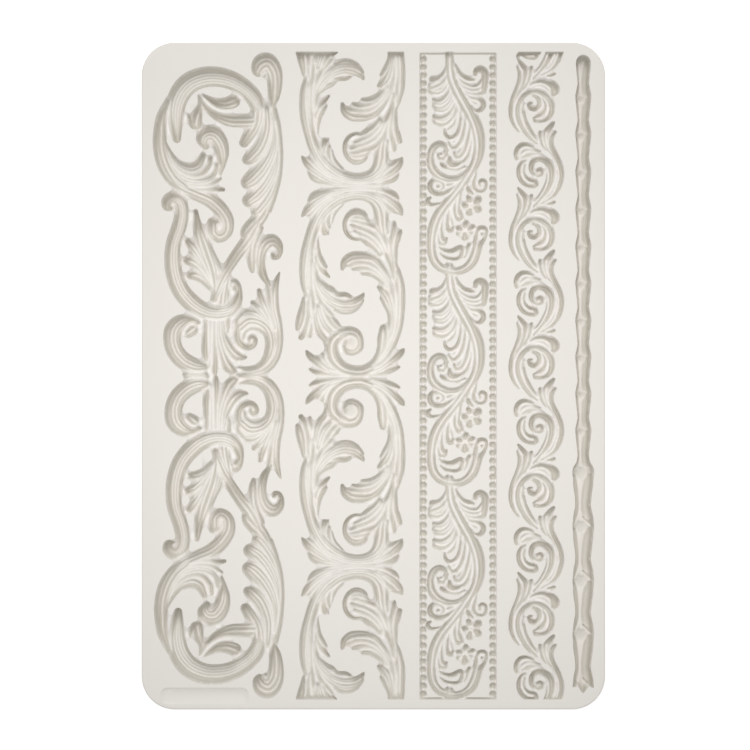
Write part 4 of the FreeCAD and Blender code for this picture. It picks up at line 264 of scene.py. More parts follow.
# One unit of the flower border, repeated three times.
FLOWER_SCROLL = (
    # main stem
    groove(1, (23.3, 101.6, 0.85), (23.3, 98, 0.7), (23.4, 95, 0.6), (24, 92.5, 0.6), (25.4, 89.2, 0.7),
           (27.3, 85.6, 0.7), (29.3, 82.2, 0.7), (31, 78.5, 0.6), (31.8, 75, 0.6), (32, 71.5, 0.6),
           (31.6, 68.2, 0.7), (30.3, 65.3, 0.7), (28.8, 62.9, 0.7), (26.8, 59.8, 0.8), (24.5, 56.9, 0.8),
           (22, 54.1, 0.9), (20, 51.3, 1), (18.6, 48.3, 1), (17.8, 45, 1), (17.6, 41.5, 0.9), (17.9, 38.3, 0.9),
           (19, 35.5, 0.9), (21, 33.6, 0.9), (24, 32.6, 0.9), (27, 32.6, 0.9), (29.7, 33.7, 0.9), (31.7, 35.8, 1),
           (32.8, 38.6, 1), (33.6, 41.2, 0.9), (34.9, 43.1, 0.6), (35.6, 44.9, 0.5), (35.4, 46.3, 0.6)),
    groove(1, (24.6, 101.6, 0.6), (24.9, 97, 0.7), (25.8, 93, 0.8), (27.4, 89.6, 0.9), (29.4, 86, 1),
           (31.2, 82.8, 1.1), (32.7, 79.6, 1.3), (33.7, 76.3, 1.3), (34, 72.5, 1.2), (33.5, 69, 1.1),
           (32.3, 66, 0.9), (30.8, 63.3, 0.7), (29.1, 60.8, 0.7), (27.3, 58.3, 0.7), (25.2, 55.6, 0.7),
           (23, 53, 0.7), (21.1, 50.2, 0.7), (19.8, 47, 0.7), (19.1, 43.5, 0.6), (19, 40, 0.6), (19.6, 37, 0.7),
           (21.1, 35, 0.7), (23.5, 33.8, 0.7), (26.3, 33.6, 0.7), (28.8, 34.6, 0.7), (30.6, 36.6, 0.8),
           (31.7, 39.4, 0.8), (32, 42.5, 0.7), (32.5, 45, 0.6), (33.4, 46.5, 0.8), (34.8, 46.6, 0.8)),
    groove(1, (34.1, 44.7, 0.6), (34.3, 44.6, 0.6)),
    # hand of lobes on the left
    groove(1, (22.6, 97, 0.3), (21.9, 95.1, 0.7), (20.4, 93.9, 0.8), (18.6, 93.3, 1.2)),
    groove(3, (23.3, 95, 0.3), (22.2, 93, 1), (20.6, 91.7, 1.9), (19.2, 91.1, 2.2), depth=0.85),
    groove(2, (23.7, 92.7, 0.3), (22.4, 90.5, 0.8), (20.4, 89.6, 1.2), (18.6, 89.9, 1.6), depth=0.85),
    groove(1, (18.9, 87, 0.6), (20.8, 86.8, 0.8), (22.5, 87.9, 0.8), (23.6, 89.6, 0.6), (24.2, 91.6, 0.2)),
    groove(2, (20, 85.2, 1.7), (21.4, 85.1, 1.8), (23.3, 86.4, 1.4), (24.5, 88.6, 0.8), (24.9, 90.5, 0.3),
           depth=0.85),
    groove(1, (19.9, 84, 1.1), (21.8, 83.6, 0.9), (23.8, 84.7, 0.8), (25, 86.7, 0.6), (25.5, 88.6, 0.2),
           depth=0.85),
    groove(1, (19.2, 81.7, 0.8), (21.4, 81.4, 0.8), (23.6, 82.5, 0.8), (25.2, 84.8, 0.6), (26, 87.4, 0.2)),
    groove(2, (20, 80.3, 1.6), (21.8, 79.9, 1.7), (24, 81, 1.3), (25.5, 83, 0.9), (26.5, 86, 0.3), depth=0.85),
    # three bent fingers below it
    groove(1, (22.4, 77.7, 0.4), (22.6, 76.1, 0.6), (23.8, 75, 0.7), (25.4, 75.4, 0.7), (26.7, 77, 0.7),
           (27.3, 79.7, 0.5), (27.5, 83, 0.2)),
    groove(1, (26.2, 82.4, 0.2), (25.7, 80.2, 0.4), (24.6, 78.6, 0.5), (23.3, 77.6, 0.4), depth=0.8),
    groove(1, (23.8, 73.7, 0.4), (24.2, 72.4, 0.6), (25.3, 71.8, 0.6), (26.8, 72.9, 0.7), (28, 75.4, 0.7),
           (28.7, 78.6, 0.5), (29.1, 82, 0.2)),
    groove(1, (25.1, 73.4, 0.4), (26.2, 74.6, 0.5), (27.1, 77, 0.4), (27.8, 80, 0.2), depth=0.7),
    groove(1, (25.4, 70.4, 0.5), (25.8, 69.2, 0.6), (27, 68.9, 0.6), (28.4, 70.4, 0.7), (29.5, 73.2, 0.7),
           (30.2, 76.6, 0.5), (30.4, 79.8, 0.2)),
    groove(1, (26.7, 70, 0.5), (27.6, 71.4, 0.4), (28.6, 74, 0.2), depth=0.7),
    groove(1, (28.2, 67.3, 0.4), (29.3, 68.7, 0.5), (30.4, 71.3, 0.5), (31, 74.5, 0.4), (31.1, 77.4, 0.2)),
    # hook and lobes on the right
    groove(1, (32, 94.8, 0.7), (32.4, 96.1, 1), (33.8, 96.5, 1.2), (35.1, 95.4, 1.2), (35.1, 93.3, 1.2),
           (34.9, 91.2, 1.1), (34.8, 89.4, 0.8)),
    groove(1, (25.8, 98, 0.4), (26.8, 95.8, 0.7), (28.4, 94.2, 0.8), (30.3, 93.5, 0.9), (31.7, 93.2, 0.4)),
    groove(1, (26.1, 95, 0.4), (27.5, 93.1, 0.5), (29.3, 91.9, 0.6), (31.3, 91.3, 0.6), (33, 91.7, 0.6),
           (33.9, 93, 0.5)),
    groove(1, (27, 92.2, 0.4), (28.8, 90.8, 0.5), (31, 90, 0.6), (33.2, 90.2, 0.5), (34.2, 91, 0.4)),
    groove(1, (28.2, 90.4, 0.4), (29.8, 89.2, 0.5), (32, 88.7, 0.6), (34, 89, 0.7)),
    groove(1, (29.2, 88.6, 0.4), (31, 87.6, 0.6), (32.8, 87.3, 0.8), (34.3, 86.4, 0.9), (34.6, 84.9, 0.9),
           (33.6, 83.6, 0.8), (32.2, 83.6, 0.5), (31, 84.4, 0.3)),
    groove(1, (30.1, 87, 0.4), (31.4, 86.2, 0.5), (32.9, 85.6, 0.3), depth=0.8),
    # ring on the left, with its eye and the drop inside it
    groove(2, (23.2, 71, 0.6), (22.4, 72.4, 0.9), (20.7, 73, 1.1), (18.9, 71.9, 1.2), (18, 69.5, 1.2), (18, 67, 1.3),
           (18.9, 64.8, 1.4), (20.8, 63, 1.4), (23.5, 62, 1.2), (26, 62.1, 1.1), (28.3, 63.2, 1), (30.2, 65.4, 0.8)),
    groove(1, (22.6, 70.8, 0.6), (22.8, 69.4, 0.6), (22, 68.4, 0.6), (20.7, 68.6, 0.6), (20.2, 69.8, 0.4)),
    groove(1, (21.1, 69.8, 0.6), (21.6, 69.8, 0.6), depth=0.8),
    groove(1, (21.3, 66.7, 0.6), (22.1, 66.1, 0.8), (24, 65.2, 0.4), (26.5, 64.9, 0.4), (28.8, 65.9, 0.4)),
    groove(1, (23.9, 68.6, 0.7), (24.1, 67, 1.1), (25.3, 66.5, 1.1), (27, 66.9, 0.7), (28.6, 68, 0.3)),
    # curl on the right
    groove(1, (32.6, 66, 0.3), (32.2, 63.5, 0.4), (31.6, 61, 0.6), (31.8, 59, 0.6), (33, 58.1, 0.5),
           (34.6, 58.2, 0.5), (35.4, 59.4, 0.5), (35.3, 61, 0.6), (34.2, 61.6, 0.7), (33.4, 60.9, 0.5),
           (33.6, 59.7, 0.4)),
    # small volute on the left
    groove(1, (18.6, 61.6, 0.7), (17.8, 60.3, 0.9), (18, 58.6, 0.9), (19.4, 57.5, 0.9), (21.7, 57.4, 0.9),
           (23.7, 58.2, 0.8), (25.5, 59.6, 0.6), (27, 61.1, 0.2)),
    groove(1, (19.3, 61.5, 0.6), (20.8, 61.3, 0.5), (21.9, 60.4, 0.5), (22.1, 59.2, 0.5), (21.2, 58.6, 0.3)),
    groove(1, (20.3, 59.6, 0.6), (20.5, 59.6, 0.6)),
    groove(1, (23.3, 60, 0.5), (24.8, 60.5, 0.6), (26.4, 61.1, 0.2)),
    groove(1, (18.1, 56.1, 0.4), (17.2, 55.6, 0.7), (17.1, 54.6, 0.8), (18.2, 53.9, 0.6), (20, 54.1, 0.5),
           (21.4, 54.5, 0.3)),
    # leaves that hang from the stem
    groove(1, (26.8, 57.6, 0.2), (25.9, 55.2, 0.4), (25.6, 52.5, 0.6), (26, 50.4, 0.7), (26.9, 49.3, 0.8),
           (27.8, 49.6, 0.7)),
    groove(1, (28.6, 60.2, 0.2), (27.5, 57.4, 0.4), (27, 54, 0.5), (27.1, 51.6, 0.8), (27.7, 50.2, 0.7)),
    groove(1, (23.9, 53.4, 0.15), (23.5, 50.5, 0.4), (23.3, 47.8, 0.6), (23.7, 46, 0.8), (24.6, 45.8, 0.8),
           (25, 46.8, 0.5)),
    groove(1, (24.5, 53.4, 0.15), (24.4, 50.5, 0.35), (24.7, 48, 0.4), (25.1, 46.6, 0.3), depth=0.8),
    groove(1, (22, 50.4, 0.15), (21.5, 47.5, 0.35), (21.5, 45, 0.5), (21.8, 43.2, 0.7), (22.6, 42.5, 0.7),
           (23.1, 43.4, 0.4)),
    groove(1, (20.5, 46, 0.15), (20.5, 43.5, 0.4), (20.9, 42, 0.6), (21.8, 41.4, 0.6), (22.9, 41.9, 0.4)),
    # flowers
    groove(1, (29.6, 59.2, 0.7), (30.3, 58.1, 0.8), (31.2, 57.3, 0.6)),
    groove(1, (30, 56.2, 1), (30.4, 55.2, 0.8)),
    groove(1, (33, 55.5, 1.3), (32.2, 54.6, 0.9)),
    groove(1, (32.9, 52.4, 1.3), (32.1, 53, 0.9)),
    groove(1, (30.2, 51.3, 1.15), (30.5, 52.3, 0.8)),
    groove(1, (28.5, 53.8, 1.15), (29.5, 53.6, 0.8)),
    groove(1, (30.8, 53.6, 0.8), (31.1, 53.6, 0.8), depth=0.8),
    groove(1, (30.8, 53.6, 2.2), (31.1, 53.6, 2.2), depth=0.5),
    groove(1, (29.1, 48.1, 1.1), (28.9, 47, 0.8)),
    groove(1, (31.2, 46.9, 1), (30.1, 46.3, 0.7)),
    groove(1, (31, 45, 0.8), (29.9, 45.3, 0.6), depth=0.8),
    groove(1, (28.8, 43.6, 1.3), (28.8, 44.8, 0.8)),
    groove(1, (26.8, 44.7, 0.9), (27.9, 45.3, 0.7), depth=0.8),
    groove(1, (26.7, 46.5, 1), (27.8, 46.2, 0.7)),
    groove(1, (28.7, 45.9, 0.7), (29, 45.9, 0.7), depth=0.8),
    groove(1, (28.7, 45.9, 2.1), (29, 45.9, 2.1), depth=0.5),
    # crescent below the flowers
    groove(1, (20.6, 40.5, 0.2), (22.2, 39.6, 0.6), (24.4, 39.3, 0.8), (26.4, 40.1, 0.9), (27.5, 40.4, 0.9),
           (28, 39, 0.8), (27.3, 37.4, 0.6)),
    groove(1, (20.8, 38.7, 0.2), (22.4, 37.4, 0.5), (24.6, 36.8, 0.6), (26.6, 37, 0.6), (28, 38, 0.5)),
    groove(1, (30.2, 41.3, 0.8), (29.5, 40.3, 0.6), (29.4, 38.8, 0.4), (28.6, 37.2, 0.3)),
)

# One unit of the vine border, repeated five times.
VINE = (
    # outer band on the left, with three tips at its head
    groove(1, (45.2, 97.6, 0.4), (46, 95.5, 0.7), (45.9, 93, 0.8), (45, 90.3, 0.8), (43.8, 87.3, 0.8),
           (43.2, 84, 0.8), (43.4, 81.3, 0.7), (44.4, 78.7, 0.5), (45.8, 76.9, 0.3)),
    groove(1, (45.5, 99.7, 0.4), (46.6, 98.3, 0.8), (47.9, 96.4, 1), (47.7, 93.6, 0.9), (46.7, 91, 0.8),
           (45.2, 88.5, 0.6), (44.2, 86, 0.4)),
    groove(1, (49.7, 97.3, 0.6), (49.3, 95, 0.6), (48.5, 92.6, 0.6), (47.2, 90.6, 0.5)),
    # comma on the right
    groove(1, (48.8, 91.3, 0.2), (50.4, 92.5, 0.5), (52.7, 93.1, 0.8), (54.8, 92.6, 1), (56.5, 91.7, 1.4),
           (57.2, 90.2, 1.5), (56.6, 88.9, 0.9)),
    groove(1, (57, 95.2, 0.5), (55.8, 94.8, 0.6), (54.6, 94.6, 0.3)),
    # upper volute
    groove(2, (51.5, 73.3, 0.4), (49.3, 75.2, 0.7), (47.4, 77.6, 0.8), (46, 80.3, 0.9), (45.4, 83.2, 0.9),
           (45.9, 86.2, 0.9), (47.5, 88.6, 0.9), (50, 89.8, 0.9), (52.7, 89.5, 1), (55, 87.8, 1.1), (56.1, 85.3, 1),
           (55.9, 82.8, 0.9), (54.7, 81, 0.7), (52.6, 80.3, 0.6), (50.8, 80.5, 0.7)),
    groove(1, (50.3, 81.3, 0.4), (51.5, 82, 0.4), (53, 82.7, 0.4), (54.1, 84.2, 0.4), (54.2, 86, 0.4),
           (53.5, 87.7, 0.3)),
    groove(1, (51.8, 74.2, 0.3), (50.4, 76, 0.5), (49, 78.3, 0.6), (47.9, 80.8, 0.5), (47.3, 83.3, 0.5)),
    groove(1, (48.8, 85.5, 0.6), (49.6, 84.4, 0.9), (51, 84.2, 0.9), (52.2, 85.3, 0.9), (52.2, 87, 0.9),
           (51.2, 88.3, 0.7), (50.4, 89, 0.5)),
    groove(1, (49, 86, 0.5), (49.9, 86.1, 0.4)),
    # leaf at the lower right
    groove(1, (52.4, 76.9, 0.6), (52.7, 75, 0.7), (53.3, 73, 0.6), (54.3, 71.2, 0.3)),
    groove(1, (56.6, 79.8, 0.6), (55.3, 78.6, 0.7), (54.1, 77.3, 0.6), (53.9, 75.5, 0.6), (54.2, 73.6, 0.6),
           (55, 71.6, 0.5), (56.2, 69.8, 0.3)),
    groove(1, (57.3, 77, 0.5), (56.3, 75.8, 0.8), (55.8, 74, 0.9), (56.2, 72, 0.9), (57.3, 69.8, 0.9),
           (58.4, 67.5, 0.9), (59.1, 65, 0.9), (59.2, 62.5, 0.8), (58.5, 60, 0.8), (57.5, 57.9, 0.6),
           (56.2, 56.4, 0.5), (54.3, 55.2, 0.4), (52.6, 54.3, 0.3)),
    groove(1, (55.6, 77.6, 0.7), (55, 75.6, 0.6), (55.2, 73.5, 0.5), (56, 71.5, 0.4)),
    # comma on the left
    groove(1, (45, 68.3, 0.45), (44.8, 69.9, 0.8), (45.3, 71.6, 0.9), (46.6, 72.8, 0.9), (48.3, 73, 0.7),
           (50.2, 72.4, 0.4)),
    groove(1, (45.8, 68.8, 0.4), (46.6, 70.3, 0.6), (48.3, 71.4, 0.7), (50.3, 71.4, 0.6), (52.5, 70.8, 0.4),
           depth=0.6),
    # lower volute
    groove(1, (48, 68, 0.3), (46.6, 67.2, 0.6), (45.8, 65.5, 0.8), (45.8, 63.3, 0.8), (46.8, 61.3, 0.8),
           (48.5, 60.1, 0.7), (50.5, 59.8, 0.7)),
    groove(1, (47.6, 66.6, 0.3), (47.3, 64.8, 0.4), (47.8, 63, 0.5), (49.2, 61.9, 0.7), (50.8, 61.5, 0.8),
           (51.3, 60.4, 0.7), (50.8, 59.8, 0.5)),
    groove(1, (51.4, 64.9, 0.5), (52.5, 65.2, 0.75), (53.2, 64.3, 0.75), (52.5, 63.4, 0.6), (51.2, 63.3, 0.5),
           (50, 64.2, 0.7), (49.6, 65.7, 0.85), (50.2, 67.6, 0.95), (52, 68.5, 1), (54.2, 67.9, 1.2),
           (55.9, 66, 1.3), (56.3, 63.3, 1.2), (55.6, 60.3, 1), (54, 57.5, 0.7), (52.1, 55.3, 0.5),
           (50.4, 53.3, 0.4)),
    groove(1, (54.4, 66, 0.2), (54.7, 64.2, 0.35), (54.5, 61.8, 0.4), (53.6, 59.4, 0.45), (52.2, 57, 0.45),
           (50.4, 55, 0.3)),
    groove(1, (56.4, 69.3, 0.2), (57.4, 67.2, 0.3), (58, 64.8, 0.35), (57.9, 62, 0.35), (57, 59.3, 0.4),
           (55.4, 57.1, 0.4), (53.2, 55.4, 0.3)),
    # shallow leaf flesh between the strokes
    groove(3, (50.4, 88.6, 0.8), (52.6, 87.6, 1.3), (53.6, 85.4, 1.5), (53.2, 83.2, 1.2), (51.6, 81.4, 0.6),
           depth=0.66),
    groove(2, (51, 74.2, 0.3), (48.7, 77.4, 0.8), (47.1, 80.5, 0.9), (46.7, 83.5, 0.8), (47.2, 86, 0.5),
           depth=0.7),
    groove(1, (49.6, 90.9, 0.3), (52, 91.8, 0.6), (54.3, 91.3, 0.8), (55.6, 89.8, 0.7), depth=0.6),
    groove(2, (46.8, 68.8, 0.5), (48.5, 69.9, 0.8), (50.8, 70.1, 0.7), (53.6, 69.5, 0.3), depth=0.55),
    groove(1, (57.5, 67, 0.3), (57.8, 64, 0.5), (57.3, 61, 0.5), (56, 58.2, 0.3), depth=0.7),
    groove(1, (51.2, 64.1, 0.5), (52.3, 64.4, 0.6), depth=0.9),
    groove(1, (56.8, 79.9, 0.5), (55.8, 78.7, 0.9), (54.9, 77.3, 0.7)),
)

# End of the vine at the upper cut, left of its stem.
VINE_END = (
    groove(1, (45.5, 99.6, 0.4), (45.6, 101, 0.6), (49, 101.5, 0.8), (52.2, 101.6, 0.6)),
)

# Bamboo rod: heights of its short joints, then of its long ones.
SHORT_JOINTS = (99.8, 88.2, 76.5, 64.6, 52.8, 41.1, 29.5, 17.9, 6.3, -5.3, -16.9, -29)
LONG_JOINTS = (-30, -47, -64.1, -81.1, -98)


def bamboo():
    """Grooves of the rod: its outline, the hollows and collars at its joints, and the channels beside its keel."""
    outline, channels = [(66, 98.7, 2.3), (66, 98, 2.35)], []
    for above, joint in zip(SHORT_JOINTS, SHORT_JOINTS[1:]):
        outline += [(66, above - 4, 2.15), (66, above - 6, 1.95), (66, above - 8.2, 1.75),
                    (66, joint + 1.2, 2), (66, joint, 2.5), (66, joint - 1.8, 2.4)]
        channels += [groove(1, (67.2, above - 1, 0.8), (66.9, above - 3, 1.15), (66.7, above - 6, 1.15),
                            (66.7, joint + 3.4, 1.15), (67, joint + 1.4, 1.25), (67.4, joint + 0.6, 0.9),
                            depth=1.16),
                     groove(1, (64.4, above - 1.6, 0.4), (64.5, above - 4, 0.45), (64.7, above - 7, 0.4),
                            (64.6, joint + 3, 0.5), (64.2, joint + 1, 0.55), (64, joint + 0.3, 0.4), depth=1.25),
                     groove(1, (65.8, joint + 0.8, 0.8), (66, joint - 0.2, 1.9), (66, joint - 0.7, 1.9))]
    outline[-2:] = []
    for above, joint in zip(LONG_JOINTS, LONG_JOINTS[1:]):
        outline += [(66, above, 3.4), (66, above - 1.5, 3.25), (66, above - 4, 3.1), (66, above - 6.5, 2.75),
                    (66, above - 9, 2.35), (66, above - 11.5, 2.25), (66, above - 13.5, 2.45)]
        channels += [groove(1, (68, above - 1.4, 0.9), (67.7, above - 3.2, 1.35), (67.3, above - 6, 1.5),
                            (67, above - 9, 1.5), (66.9, above - 11, 1.5), (67.2, joint + 4, 1.6),
                            (67.9, joint + 2.2, 1.3), (68.6, joint + 0.9, 0.6), depth=1.16),
                     groove(1, (63.5, above - 1.6, 0.6), (63.7, above - 4, 0.9), (64.2, above - 8, 0.85),
                            (64.3, above - 11, 0.85), (64, joint + 4, 0.95), (63.5, joint + 2, 0.7),
                            (63.3, joint + 0.6, 0.4), depth=1.2),
                     groove(1, (64, above - 2.4, 0.5), (65.4, above - 1.9, 0.45), (66.9, above - 2.4, 0.5),
                            depth=1.16),
                     groove(1, (65.8, above + 1.3, 1), (66, above, 2.6), (66, above - 0.9, 2.6)),
                     groove(1, (66.4, joint + 2.4, 0.3), (67.5, joint + 1.4, 0.4), (69.1, joint + 0.1, 0.35),
                            depth=1.4)]
    outline += [(66, -96, 2.2), (66, -98, 1.2), (66, -99.6, 0.3)]
    ends = (groove(1, (64.3, -95, 1.3), (63.7, -96.7, 0.9), (62.9, -97.8, 0.3)),
            groove(1, (67.7, -95, 1.3), (68.3, -96.7, 0.9), (69.2, -98, 0.2)))
    return (groove(1, *outline, depth=0.88), *channels, *ends)


BAMBOO = bamboo()

# Bead rows on both sides of the flower border: round dimples, with a straight channel beside each row and one
# across each end of the border.
BEAD_ROWS = (15.65, 37.6)
BEAD_COUNT = 80
FIRST_BEAD = 99.7
BEAD_PITCH = 2.528
BEADS = tuple(groove(1, (x - 0.1, FIRST_BEAD - BEAD_PITCH * k, 1.18), (x + 0.1, FIRST_BEAD - BEAD_PITCH * k, 1.18))
              for x in BEAD_ROWS for k in range(BEAD_COUNT))
BEAD_CHANNELS = (
    groove(1, (15.05, 101.1, 0.6), (15.05, -101.2, 0.6)),
    groove(1, (38.2, 101.1, 0.6), (38.2, -101.2, 0.6)),
    groove(1, (14.9, 101.3, 0.4), (38.4, 101.3, 0.4)),
    groove(1, (14.9, -101.4, 0.4), (38.4, -101.4, 0.4)),
)


# ---------------------------------------------------------------------------------------------------------
# Relief: the grooves are sunk into a height map, one strip of it for each border
# ---------------------------------------------------------------------------------------------------------

GRAIN = 0.2           # spacing of the height map, in millimetres
TOP_CUT, BOTTOM_CUT = 102.0, -101.8
CUT_STEEPNESS = 2.5   # how much steeper the walls are at the straight cuts
MARGIN = 1.5          # how far outside a groove its distance is kept
GAP_SHARE = 0.5       # depth of the slits that are joined to their grooves, as a share of the border's depth
NARROW_DEPTH = 0.64   # depth of the narrowest grooves, as a share of the border's depth
WIDE_GAIN = 0.26      # what wide grooves gain on that
FULL_WIDTH = 2.0      # half width from which a groove has all of that gain
CHANNEL_RISE = 1.5    # how far a channel's sides rise above its middle, in half widths
WIDEST_RISE = 1.3     # half width above which the rise stays the same
FLUTE_RISE = 0.5      # height of the ridges between flutes, in flute widths
SOFTENING = 0.1       # how softly the ridges are rounded
WALL_CURVE = 2.2      # how hollow the walls are
EDGE_SOFTENING = 0.2  # how softly the outlines' corners are rounded
BATCH = 32            # discs that are measured against the map at a time
CREASE_REACH = 0.45   # how far around a point its surroundings count when creases are found for their painted shade
FLAT_SHADE = 0.3       # how much painted shade the flat face gets, so that ridges can be painted paler than it
CREASE_SHADE_GAIN = 3.1     # how fast the painted shade of creases grows with their depth below their surroundings, for each millimetre
FLAT = 0.05           # how far below the flat face a point still counts as part of it
FULL_SHADE_DEPTH = 5.0         # depth at which the painted shade of the recesses is at its fullest


def along(points, step=0.15):
    """Discs (x, y, radius) along the smooth curve through a groove's points."""
    p = np.array(points, float)
    last = len(p) - 1
    runs = []
    for i in range(last):
        a, b = p[i], p[i + 1]
        leaving, arriving = (b - p[max(i - 1, 0)]) / 2, (p[min(i + 2, last)] - a) / 2
        count = max(2, math.ceil(math.hypot(*(b - a)[:2]) / step))
        t = np.linspace(0, 1, count, endpoint=False)[:, None]
        runs.append((2 * t**3 - 3 * t**2 + 1) * a + (3 * t**2 - 2 * t**3) * b
                    + (t**3 - 2 * t**2 + t) * leaving + (t**3 - t**2) * arriving)
    discs = np.vstack(runs + [p[-1:]])
    discs[:, 2] = np.maximum(discs[:, 2], 0.05)
    return discs


class Strip:
    """Height map of one border: how far inside its grooves each point is, and how deep the floor is there."""

    def __init__(self, left, right, depth):
        self.xs = np.arange(left - 2 * MARGIN, right + 2 * MARGIN, GRAIN)
        self.ys = np.arange(BOTTOM_CUT - 2 * MARGIN, TOP_CUT + 2 * MARGIN, GRAIN)
        self.depth = depth
        self.inside = np.full((len(self.ys), len(self.xs)), -MARGIN)
        self.floor = np.full_like(self.inside, GAP_SHARE * depth)

    def sink(self, discs, flutes, share):
        """Sinks one groove: a rounded channel along its discs, with low ridges between its flutes."""
        radius = discs[:, 2]
        reach = radius.max() + MARGIN
        i0, i1 = np.searchsorted(self.xs, (discs[:, 0].min() - reach, discs[:, 0].max() + reach))
        j0, j1 = np.searchsorted(self.ys, (discs[:, 1].min() - reach, discs[:, 1].max() + reach))
        if i0 == i1 or j0 == j1:
            return
        grid_x, grid_y = np.meshgrid(self.xs[i0:i1], self.ys[j0:j1])
        x, y = grid_x.ravel(), grid_y.ravel()
        inside = np.full(x.shape, -9.0)
        nearest, ratio = np.zeros(x.shape, int), np.full(x.shape, 9.0)
        for first in range(0, len(discs), BATCH):
            part = discs[first:first + BATCH]
            away = np.hypot(x[:, None] - part[:, 0], y[:, None] - part[:, 1])
            inside = np.maximum(inside, (part[:, 2] - away).max(axis=1))
            relative = away / part[:, 2]
            best = relative.argmin(axis=1)
            value = relative[np.arange(len(x)), best]
            closer = value < ratio
            ratio[closer] = value[closer]
            nearest[closer] = best[closer] + first
        centre, r = discs[nearest], radius[nearest]
        floor = share * self.depth * (NARROW_DEPTH + WIDE_GAIN * np.minimum(r / FULL_WIDTH, 1))
        floor -= CHANNEL_RISE * np.minimum(r, WIDEST_RISE) * (1 - np.sqrt(1 - np.minimum(ratio, 1) ** 2))
        if flutes > 1:
            heading = np.gradient(discs[:, :2], axis=0)
            heading /= np.linalg.norm(heading, axis=1)[:, None] + 1e-9
            heading = heading[nearest]
            side = (heading[:, 0] * (y - centre[:, 1]) - heading[:, 1] * (x - centre[:, 0])) / r
            ridge = np.abs(np.cos(np.pi * (side + 1) / 2 * flutes)) ** 3
            pitch = 2 * r / flutes
            height = FLUTE_RISE * np.clip(2 * pitch - 1, 0, pitch)
            floor -= height * ridge * np.clip((1 - np.abs(side)) * flutes, 0, 1)
        floor = np.where(ratio < 1, floor, 0).reshape(grid_x.shape)
        inside = inside.reshape(grid_x.shape)
        self.inside[j0:j1, i0:i1] = np.maximum(self.inside[j0:j1, i0:i1], inside)
        self.floor[j0:j1, i0:i1] = np.maximum(self.floor[j0:j1, i0:i1], floor)

    def finish(self, wall, closing):
        """Joins grooves across slits narrower than the closing, and gives the sides their slope."""
        edge = blurred(swept(swept(self.inside, closing, np.maximum), closing, np.minimum), EDGE_SOFTENING)
        self.edge = np.minimum(edge, CUT_STEEPNESS * np.minimum(TOP_CUT - self.ys, self.ys - BOTTOM_CUT)[:, None])
        fall = 1 - (1 - np.clip(self.edge / wall, 0, 1)) ** WALL_CURVE
        self.sunk = fall * blurred(self.floor, SOFTENING)
        # mask for the painted shade: how far each point lies below (creases) or above (ridges) its surroundings
        self.crease_shade = self.sunk - blurred(self.sunk, CREASE_REACH)

    def at(self, field, x, y):
        """Value of a field at points, from the four samples around each."""
        i = np.clip((x - self.xs[0]) / GRAIN, 0, len(self.xs) - 1.001)
        j = np.clip((y - self.ys[0]) / GRAIN, 0, len(self.ys) - 1.001)
        a, b = i.astype(int), j.astype(int)
        s, t = i - a, j - b
        return ((1 - t) * ((1 - s) * field[b, a] + s * field[b, a + 1])
                + t * ((1 - s) * field[b + 1, a] + s * field[b + 1, a + 1]))


def swept(field, radius, pick):
    """Each value becomes the pick (np.maximum or np.minimum) over a disc around it."""
    reach = round(radius / GRAIN)
    result = field
    for j in range(-reach, reach + 1):
        for i in range(-reach, reach + 1):
            if 0 < i * i + j * j <= reach * reach + 0.5:
                result = pick(result, np.roll(field, (j, i), (0, 1)))
    return result


def blurred(field, spread):
    """The field softened by a bell curve of the given spread in millimetres."""
    reach = math.ceil(3 * spread / GRAIN)
    weights = [math.exp(-(k * GRAIN / spread) ** 2 / 2) for k in range(-reach, reach + 1)]
    for axis in (0, 1):
        field = sum(w * np.roll(field, k - reach, axis) for k, w in enumerate(weights)) / sum(weights)
    return field


def mirrored(height, shift=0):
    """Turn that mirrors a unit about a height and moves it sideways."""
    return lambda x, y: (x + shift, 2 * height - y)


def moved(distance):
    """Turn that moves a unit down."""
    return lambda x, y: (x, y - distance)


def turned(grooves, *turns):
    """The grooves in each of their turns."""
    return [(flutes, share, [(*turn(x, y), width) for x, y, width in points])
            for turn in turns for flutes, share, points in grooves]


# Left and right edge, placed grooves, depth setting, wall width and closing of each strip.
STRIPS = (
    (-69.6, -27.5, turned(ACANTHUS, moved(0), mirrored(0.15, 0.4)), "acanthus_depth", 1.4, 0.75),
    (-25.1, 10.2, turned(BROAD_SCROLL, moved(0), mirrored(59.6), mirrored(-0.4), moved(119.3)),
     "broad_depth", 1.3, 0.75),
    (14.3, 38.9, turned(FLOWER_SCROLL, *(moved(66.7 * k) for k in range(4))), "flower_depth", 1.0, 0.5),
    (14.3, 38.9, BEADS, "bead_depth", 0.7, 0.25),
    (14.3, 38.9, BEAD_CHANNELS, "channel_depth", 0.4, 0.25),
    (42.2, 60.1, turned(VINE, *(moved(40.35 * k + 0.2) for k in range(-1, 6))) + list(VINE_END),
     "vine_depth", 1.1, 0.5),
    (62.6, 69.4, BAMBOO, "bamboo_depth", 0.7, 0.5),
)


def strips(sizes):
    """The finished strips of all the borders."""
    for left, right, grooves, depth_name, wall, closing in STRIPS:
        strip = Strip(left, right, getattr(sizes, depth_name) / MM)
        for flutes, share, points in grooves:
            strip.sink(along(points), flutes, share)
        strip.finish(wall, closing)
        yield strip


LEAST_STEEPNESS = 0.3   # below this the outline is too vague for points to be moved onto it
SNAP_SHARE = 0.45       # how far a point is moved at most, in mesh steps
TRIANGLES = 195000      # what the relief is thinned to
RIM_STEPS = 4           # steps in the rounding of the slab's lower edge
SHARP_ANGLE = 70        # degrees between faces from which their edge stays crisp
PLAQUE_WALL = 0.6 * MM  # width of the slope round the plaque


